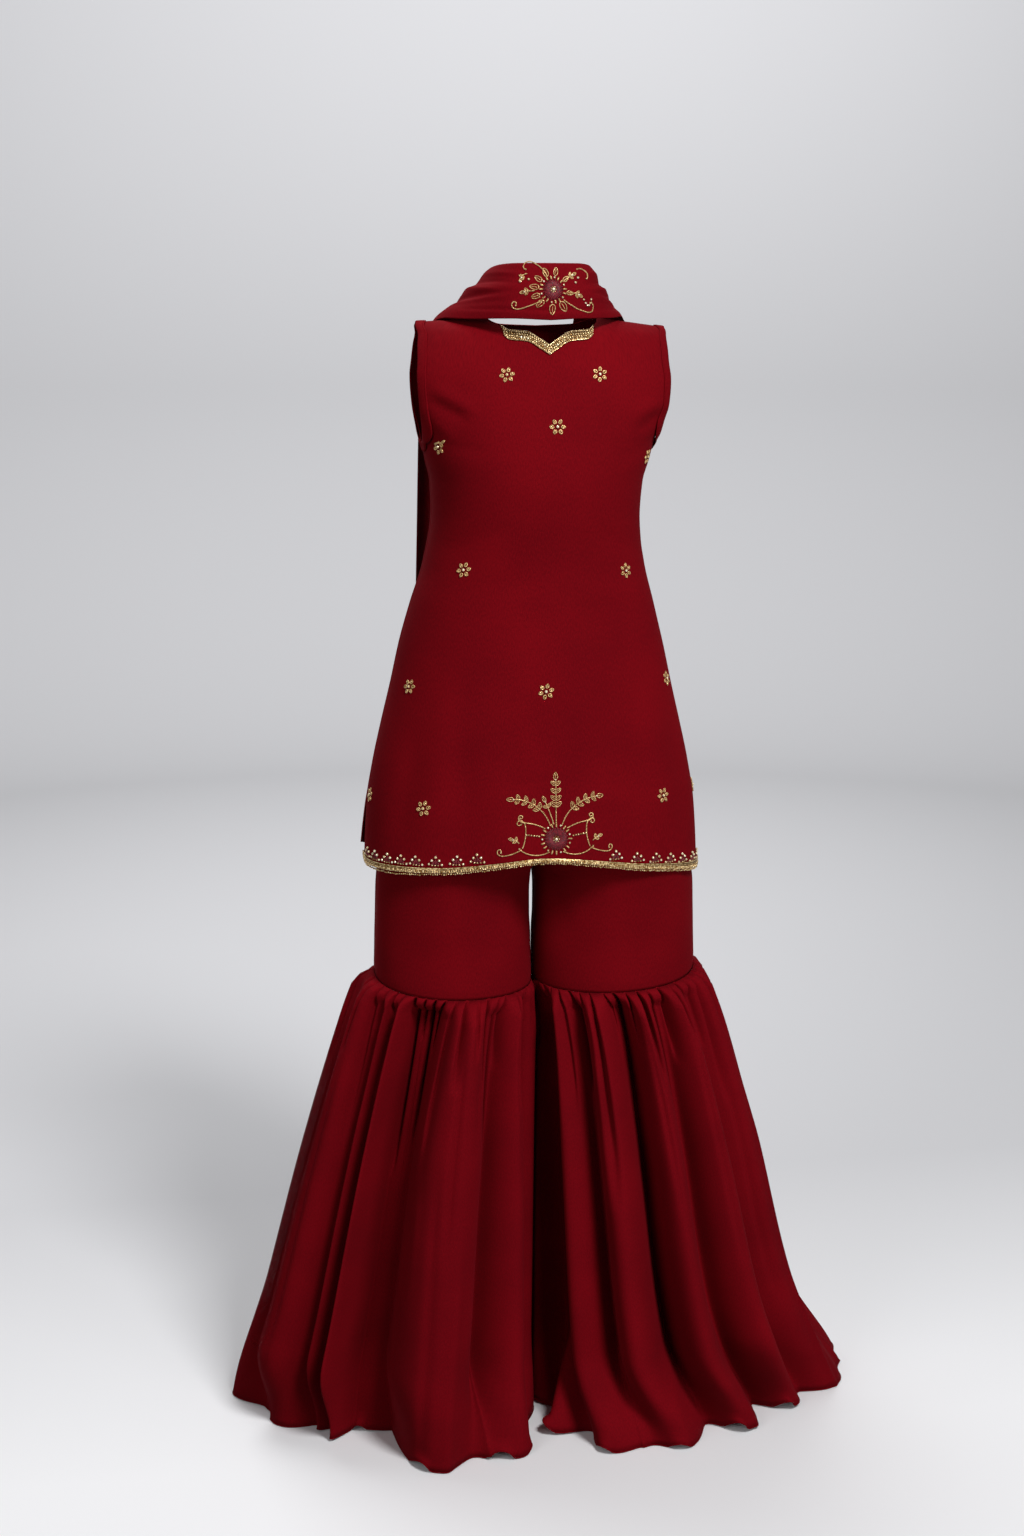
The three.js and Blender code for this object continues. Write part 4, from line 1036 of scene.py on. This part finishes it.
# How far gathers stand in or out, -deep exp(-(d/opened)^2) each, at a share of the seam and mm below it.
def gatherHeight(panel, share, below):
    g, s = gathers[panel], skirt
    d, under = (share[..., None] - g["at"]) * s["kneeGirth"], below[..., None]
    t = np.clip(under / (s["gatherLong"] * g["long"]), 0, 1)
    started = np.minimum(below / s["gatherStart"], 1)
    deep = s["gatherDeep"] * g["deep"] * started[..., None] * (1 - t) ** 0.8 * (1 + 0.5 * t)
    first, gain, within, spread = s["gatherWide"]
    spread = spread * t * smooth(*s["longGather"], g["long"])
    opened = g["wide"] * (first + gain * np.minimum(under / within, 1) + spread)
    swell, settled = s["swell"]
    return swell * g["deep"].mean() * np.exp(-below / settled) * started - (deep * bell(d / opened)).sum(-1)


# How far long creases stand out: high exp(-(d/wide)^2), both growing with the way down.
def creaseHeight(panel, share, down, girth):
    c, down = skirtCreases[panel], down[..., None]
    d = (share[..., None] - mix(c["knee"], c["hem"], np.sqrt(down))) * girth[..., None]
    along = smooth(c["start"], c["start"] + 0.2, down) * smooth(c["end"], c["end"] - 0.25, down)
    return (c["high"] * (0.45 + 0.55 * down) * along * bell(d / (c["wide"] * (0.6 + 0.6 * down)))).sum(-1)


# fold and within count along the panel, and down goes from the knee seam (0) to the hem (1). A fold is
# crest sin^2 - trough cos^2, its share of the panel mixed by the square root of down, laid out along the
# ring's outward direction. Gathers and creases are soft bars on it.
def skirtSurface(panel, fold, within, down):
    folds, (side, face) = skirtFolds[panel], panels[panel]
    fold, within, down = np.broadcast_arrays(fold, np.asarray(within, float), np.asarray(down, float))
    reached = np.clip(down / skirt["lowDown"], 0, 1)
    near = smooth(skirt["lowDown"], 1, down)
    start, width = {}, {}
    for name in ("knee", "low", "hem"):
        shares = folds[name] / folds[name].sum()
        start[name], width[name] = (np.cumsum(shares) - shares)[fold], shares[fold]
    root = np.sqrt(reached)
    first, wide = (mix(mix(at["knee"], at["low"], root), at["hem"], near) for at in (start, width))
    crest, trough, tip, dip, lift, bulge = (folds[name][fold] for name in list(folds)[3:])
    lastTrough, lastDip = (np.concatenate([[0], folds[name][:-1]])[fold] for name in ("trough", "dip"))
    sprung = np.clip(down / skirt["foldStart"], 0, 1)
    grown = mix(skirt["kneeFold"], 1, reached ** skirt["foldGrowth"])
    growth = np.where(sprung < 1, sprung * skirt["kneeFold"], grown)
    rise = np.sin(np.pi * within) ** 2
    valley = mix(mix(lastTrough, trough, within) * growth, mix(lastDip, dip, within), near)
    height = mix(crest * growth, tip, near) * rise - valley * (1 - rise)
    overhang = bulge * np.minimum(1, down * skirt["bulgeGrowth"]) * np.sin(2 * np.pi * within)
    share = first + wide * (within - overhang * mix(1, skirt["hemBulge"], near))
    inner, outer, depth = (column(skirtRings, "down", n, down) for n in ("inner", side, face))
    top = kneeSeam(share)
    points, outward = ringPoints(inner, outer, depth, panel, share, mix(top, floorHeight + lift * rise, down))
    outward[..., 1] *= np.clip(np.minimum(share, 1 - share) / skirt["seamFade"], 0, 1)
    # Gathers hang from places along the seam, creases and arches follow the panel's cloth.
    kneeShare = mix(start["knee"], start["knee"] + width["knee"], within)
    girth = np.pi * (outer - inner + depth) * 0.5 + depth
    soft = gatherHeight(panel, kneeShare, down * (top - floorHeight))
    soft = (soft + creaseHeight(panel, share, down, girth)) * smooth(0, 0.06, np.minimum(share, 1 - share))
    h = hemArches[panel]
    arch = np.clip(1 - ((share[..., None] - h["at"]) * girth[..., None] / h["wide"]) ** 2, 0, 1)
    lifted = skirt["arch"] * (h["high"] * arch).sum(-1) * smooth(0.955, 1.0, down) ** 2
    high, place, reach, begins = skirt["corner"]
    corner = high * bell((share - place) / reach) * smooth(begins, 1, down)
    points = points + outward * (height + soft + skirt["hemKick"] * lifted + corner)[..., None]
    points[..., 2] += lifted
    bend = smooth(0, 0.12, down) * np.sin(2 * np.pi * (points[..., 1] / skirt["swayMm"] + 0.35 * down))
    close = np.clip(1 - np.abs(points[..., 0] - trousers["centreX"]) / skirt["swayFade"], 0, 1)
    points[..., 0] += skirt["sway"] * bend * close**2
    return points, share


# A panel with its rolled hem. It is sheer near the outer seam, where one layer shows against the light.
def skirtPanel(panel):
    folds, (side, face) = skirtFolds[panel], panels[panel]
    wide = folds["knee"] / folds["knee"].sum() + folds["hem"] / folds["hem"].sum()
    counts = np.round(skirt["columns"] * wide / 2).astype(int)
    fold = np.concatenate([np.repeat(np.arange(len(counts)), counts), [len(counts) - 1]])
    within = np.concatenate([*(np.arange(count) / count for count in counts), [1.0]])
    t = np.linspace(0, 1, skirt["rows"])
    down = np.clip(0.62 * t + 0.38 * t**2.2, 0, 1)[::-1, None]
    points, share = skirtSurface(panel, fold[None], within[None], down)
    sheer = smooth(0.84, 0.985, share) * smooth(0.05, 0.3, down) * (1 - 0.8 * smooth(0.7, 0.92, down))
    points, values = orient(points, panel), {"sheer": orient(sheer, panel)}
    name, nodes = panelName("skirt", panel), [f"flare_{side}_{face}"]
    piece = gridPiece(name, points, georgette, nodes, skirt["wall"], values)
    normal = gridNormals(points)[0]
    return piece, thread(points[0] - normal * skirt["wall"] / 2 + [0, 0, 0.8], normal, skirt["rollMm"], 6)


skirts, hemRolls = {}, []
for panel in panels:
    skirts[panel], roll = skirtPanel(panel)
    hemRolls.append(roll)
threadPiece("skirtRolledHems", hemRolls, crepe)
print("skirts made")


# dupatta

# Stations from the middle of the throat (0) to the end of a fall (10): the outer edge, lower at the throat,
# the inner edge, the pleats' height, and the way they stand out.
scarfStations = table(
    "at right left outY outZ inX inY inZ pleat dirX dirY dirZ",
    (0, 0, 0, -86, 3, 0, -74, 71, 0.5, 0, -1, 0.2), (1, 48, 46, -76, 5, 36, -62, 71, 0.5, 0.43, -0.9, 0.25),
    (2, 90, 80, -48, 4.5, 58, -34, 68, 1, 0.45, -0.4, 0.8),
    (3, 121, 101, -12, 5.6, 64, 2, 62, 1.5, 0.42, -0.3, 0.8),
    (4, 134, 114, 25, -0.7, 60, 36, 42, 2.5, 0.3, 0.03, 0.8),
    (5, 142, 128, 52, -40, 54, 66, -10, 4, 0.15, 0.4, 0.8),
    (6, 144, 138, 85, -112, 50, 101, -92, 6, 0, 0.8, 0.7),
    (7, 146, 144, 104, -250, 46, 112, -245, 8, 0, 1, 0.2),
    (8, 150, 150, 114, -420, 44, 122, -420, 9, 0, 1, 0.2),
    (9, 156, 156, 128, -570, 42, 138, -572, 10, 0, 1, 0.2),
    (10, 160, 160, 142, -676, 40, 150, -682, 11, 0, 1, 0.2),
)
scarf = {"shift": -3, "pleats": 2.5, "pleatTurn": 0.1, "crown": 5, "crownEnd": 5, "out": 0.8, "wall": 0.6}
# Small folds across the throat band and down the falls: place across the width, half width, height, and the
# stations between which they lie.
scarfCreases = table(
    "width wide high start end drift",
    (0.3, 0.05, 1.5, -4.4, -0.8, 0.06), (0.42, 0.045, -1.6, -4.0, -0.6, 0.05),
    (0.55, 0.05, 1.7, -4.8, -0.9, -0.05), (0.68, 0.045, -1.5, -3.6, -0.7, -0.04),
    (0.82, 0.05, 1.2, -3.2, -0.2, -0.03), (0.28, 0.05, 1.4, 0.9, 4.6, -0.05),
    (0.4, 0.045, -1.6, 0.7, 4.2, -0.05), (0.53, 0.05, 1.7, 0.8, 4.8, 0.04),
    (0.66, 0.045, -1.5, 0.6, 3.8, 0.05), (0.8, 0.05, 1.2, 0.4, 3.4, 0.02),
    (0.16, 0.04, -1.2, -3.0, 3.2, 0.0), (0.2, 0.06, 3.0, 5.2, 10.5, 0.04),
    (0.47, 0.05, -3.4, 5.6, 10.5, -0.03), (0.74, 0.06, 3.2, 4.9, 10.5, 0.02),
    (0.25, 0.06, 3.2, -10.5, -5.4, -0.03), (0.5, 0.05, -3.2, -10.5, -5.0, 0.03),
    (0.78, 0.05, 2.8, -10.5, -5.6, 0.02),
)


# along is below 0 on the wearer's right half. The outer and inner edges are joined straight, then moved out
# by a crown and by pleats, p sin(2 pi (2.5 w + turn)), and by soft creases.
def scarfSurface(along, width):
    along, width = np.broadcast_arrays(np.asarray(along, float), np.asarray(width, float))
    away, side = np.abs(along), np.where(along < 0, -1.0, 1.0)
    at = {n: column(scarfStations, "at", n, away) for n in scarfStations if n != "at"}
    outer = np.stack([np.where(along < 0, at["right"], at["left"]), at["outY"], at["outZ"]], -1)
    inner = np.stack([at["inX"], at["inY"], at["inZ"]], -1)
    points = mix(outer, inner, width[..., None])
    crown = scarf["crown"] * np.clip(1 - away / scarf["crownEnd"], 0, 1) * 4 * width * (1 - width)
    turn = scarf["pleatTurn"] * np.tanh(along / 0.6)
    pleat = at["pleat"] * np.sin(2 * np.pi * (scarf["pleats"] * width + turn))
    c, place = scarfCreases, along[..., None]
    line = c["width"] + c["drift"] * (place - (c["start"] + c["end"]) / 2)
    run = smooth(c["start"], c["start"] + 1.2, place) * smooth(c["end"], c["end"] - 1.2, place)
    bars = (c["high"] * run * bell((width[..., None] - line) / c["wide"])).sum(-1)
    bars = bars * smooth(0, 0.08, width) * smooth(1, 0.92, width)
    outward = unit(np.stack([at["dirX"], at["dirY"], at["dirZ"]], -1))
    points = points + outward * (scarf["out"] + crown + pleat + bars)[..., None]
    points[..., 0] = points[..., 0] * side + scarf["shift"]
    return points


fall = np.linspace(5, 10, 70)
along, width = np.concatenate([-fall[:0:-1], np.linspace(-5, 5, 181)[:-1], fall]), np.linspace(0, 1, 53)
points = scarfSurface(along[None], width[:, None])
sheer = 0.06 * smooth(4.5, 6, np.abs(along))[None] * np.ones((len(width), 1))
nodes = ["dupatta_fall_right", "dupatta_throat", "dupatta_fall_left"]
dupatta = gridPiece("dupatta", points, georgette, nodes, scarf["wall"], {"sheer": sheer})

# The throat's embroidery, in mm from its rosette's middle.
throat = Motif()
throat.rosette(15, 18)
throatLeaves = table(
    "side lean long",
    (-1, 0.42, 11), (1, 0.22, 10), (1, 0.95, 9), (1, 1.8, 8), (1, 2.6, 13), (1, 3.2, 12), (-1, 2.4, 11),
    (-1, 1.95, 10), (-1, 1.45, 11), (-1, 0.95, 10),
)
throatScrolls = table(
    "side x y lean long bend curling",
    (-1, 11, -12, 2.1, 62, -0.5, -5.2), (-1, 7, 16, 0.5, 56, 1.5, 2.6), (1, 12, -12, 2.25, 66, -0.7, -2.6),
    (1, 36, 24, 1.2, 34, 1.9, 1.4),
)
throatSprigs = table(
    "side x y lean long bend leaves leaf bare",
    (1, 15, 10, 0.9, 15, 0.3, 1, 6, 0.7), (-1, 33, 19, 1.6, 9, 1.2, 1, 6, 0.7),
    (-1, 22, -2, 1.6, 12, 0.2, 1, 6, 0.7), (1, 21, -4, 1.7, 12, 0.3, 1, 6, 0.7),
)
for side, lean, long in zip(*throatLeaves.values()):
    throat.leaf(17.5 * math.sin(lean), 17.5 * math.cos(lean), lean, long, side)
for row in zip(*throatScrolls.values()):
    throat.scroll(*row)
for row in zip(*throatSprigs.values()):
    throat.sprig(*row)
throat.pearls += [(40 + 2.6 * k, -13 - 7.5 * math.sin(k * 0.62), 1.3) for k in range(6)]
throat.pearls += [(x, y, 1.5) for x, y in ((27, 17), (31, 8), (-41, 9), (-30, 12), (36, 14))]
stitch(throat, chart(scarfSurface, 0.06, 0.52))

# Small flowers along the outer edge of each fall.
for side in (-1, 1):
    for station in (5.3, 6.1, 6.9, 7.6, 8.3, 9.0, 9.6):
        motif = Motif()
        motif.flower(8, station)
        stitch(motif, chart(scarfSurface, side * station, 0.12))

threadPiece("giltWireEmbroidery", embroidery["gold"], goldThread)
threadPiece("redSatinStitch", embroidery["red"], redThread)
threadPiece("embroideryBeads", embroidery["beads"], goldBeads)
threadPiece("paleBeads", embroidery["pearls"], paleBeads)
print("dupatta and its embroidery made")


# stage, light and camera

studio = {
    # The paper's colour near the suit, and the darker colour behind, which is painted shade for the light
    # falling off.
    "near": "f4f4f6",
    "far": "d6d6d9",
    "paintedShadeFrom": -0.15,  # painted shade: the paper darkens between these places behind the suit, in m, as if the light fell off
    "paintedShadeTo": 0.7,
    "reach": 3.9,
    "bend": 1.2,
    "wallTop": 5,
    "sky": 0.12,
    "skyColour": (0.9, 0.92, 0.95, 1),
    "lens": 47.7,
    "lookDown": 12.9,
    "azimuth": -9.0,
    "camera": (-0.4465, -2.582, 0.025),
    "lights": {  # place, aim and size in m, and power in W
        "key": ((1.05, -2.5, 2.4), (0, 0, -1.1), 1.1, 126),
        "fill": ((-2.3, -2.2, 0.6), (0, 0, -0.9), 1.8, 23),
        "low": ((1.4, -2.3, -0.95), (0, 0, -1.25), 1.0, 15),
        "top": ((-0.55, 1.15, 1.75), (-0.5, 0.95, -1.47), 1.7, 40),
        "wall": ((0.6, 2.1, 2.1), (0.2, 5.0, 0.3), 1.8, 92),
    },
}


# A sheet of paper all round: flat out to reach, up through a quarter circle of radius bend, then straight up.
def backdrop():
    reach, bend = studio["reach"], studio["bend"]
    rise = np.linspace(0, np.pi / 2, 24)
    out = np.concatenate([[0, 1.5], reach + bend * np.sin(rise), [reach + bend]])[:, None]
    height = np.concatenate([[0, 0], bend * (1 - np.cos(rise)), [studio["wallTop"]]])[:, None]
    turn = np.linspace(-np.pi / 2, 1.5 * np.pi, 97)
    points = np.broadcast_arrays(out * np.cos(turn), out * np.sin(turn), floorHeight * mm - 0.001 + height)
    material, place = newMaterial("studio paper")  # matt and pale, with painted shade that darkens it towards the back
    parts = addNode(material, "SeparateXYZ", {"Vector": (place, "Object")})
    limits = {"From_Min": studio["paintedShadeFrom"], "From_Max": studio["paintedShadeTo"]}
    blend = addNode(material, "MapRange", {"Value": (parts, "Y")}, **limits)
    ramp = addRamp(material, (blend, "Result"), (0, studio["near"]), (1, studio["far"]))
    finishMaterial(material, {"Base Color": ramp}, Roughness=0.9)
    paper = addMesh("backdrop", np.stack(points, -1), [gridFaces(len(out), len(turn))], material)
    paper.visible_diffuse = False  # the paper shows, but throws no light back on the cloth


backdrop()
for name, (place, aim, size, power) in studio["lights"].items():
    data = bpy.data.lights.new(name, "AREA")
    data.shape, data.size, data.energy = "DISK", size, power
    lamp = addObject(name, data)
    lamp.location = place
    lamp.rotation_euler = (Vector(aim) - Vector(place)).to_track_quat("-Z", "Y").to_euler()

world = bpy.data.worlds.new("studio air")
bpy.context.scene.world = world
world.use_nodes = True
world.node_tree.nodes["Background"].inputs["Color"].default_value = studio["skyColour"]
world.node_tree.nodes["Background"].inputs["Strength"].default_value = studio["sky"]

lensData = bpy.data.cameras.new("camera")
lensData.lens = studio["lens"]
camera = addObject("camera", lensData)
camera.location = studio["camera"]
camera.rotation_euler = (math.radians(90 - studio["lookDown"]), 0, math.radians(studio["azimuth"]))
bpy.context.scene.camera = camera
bpy.context.scene.view_settings.view_transform = "Standard"
print("stage, lights and camera set")
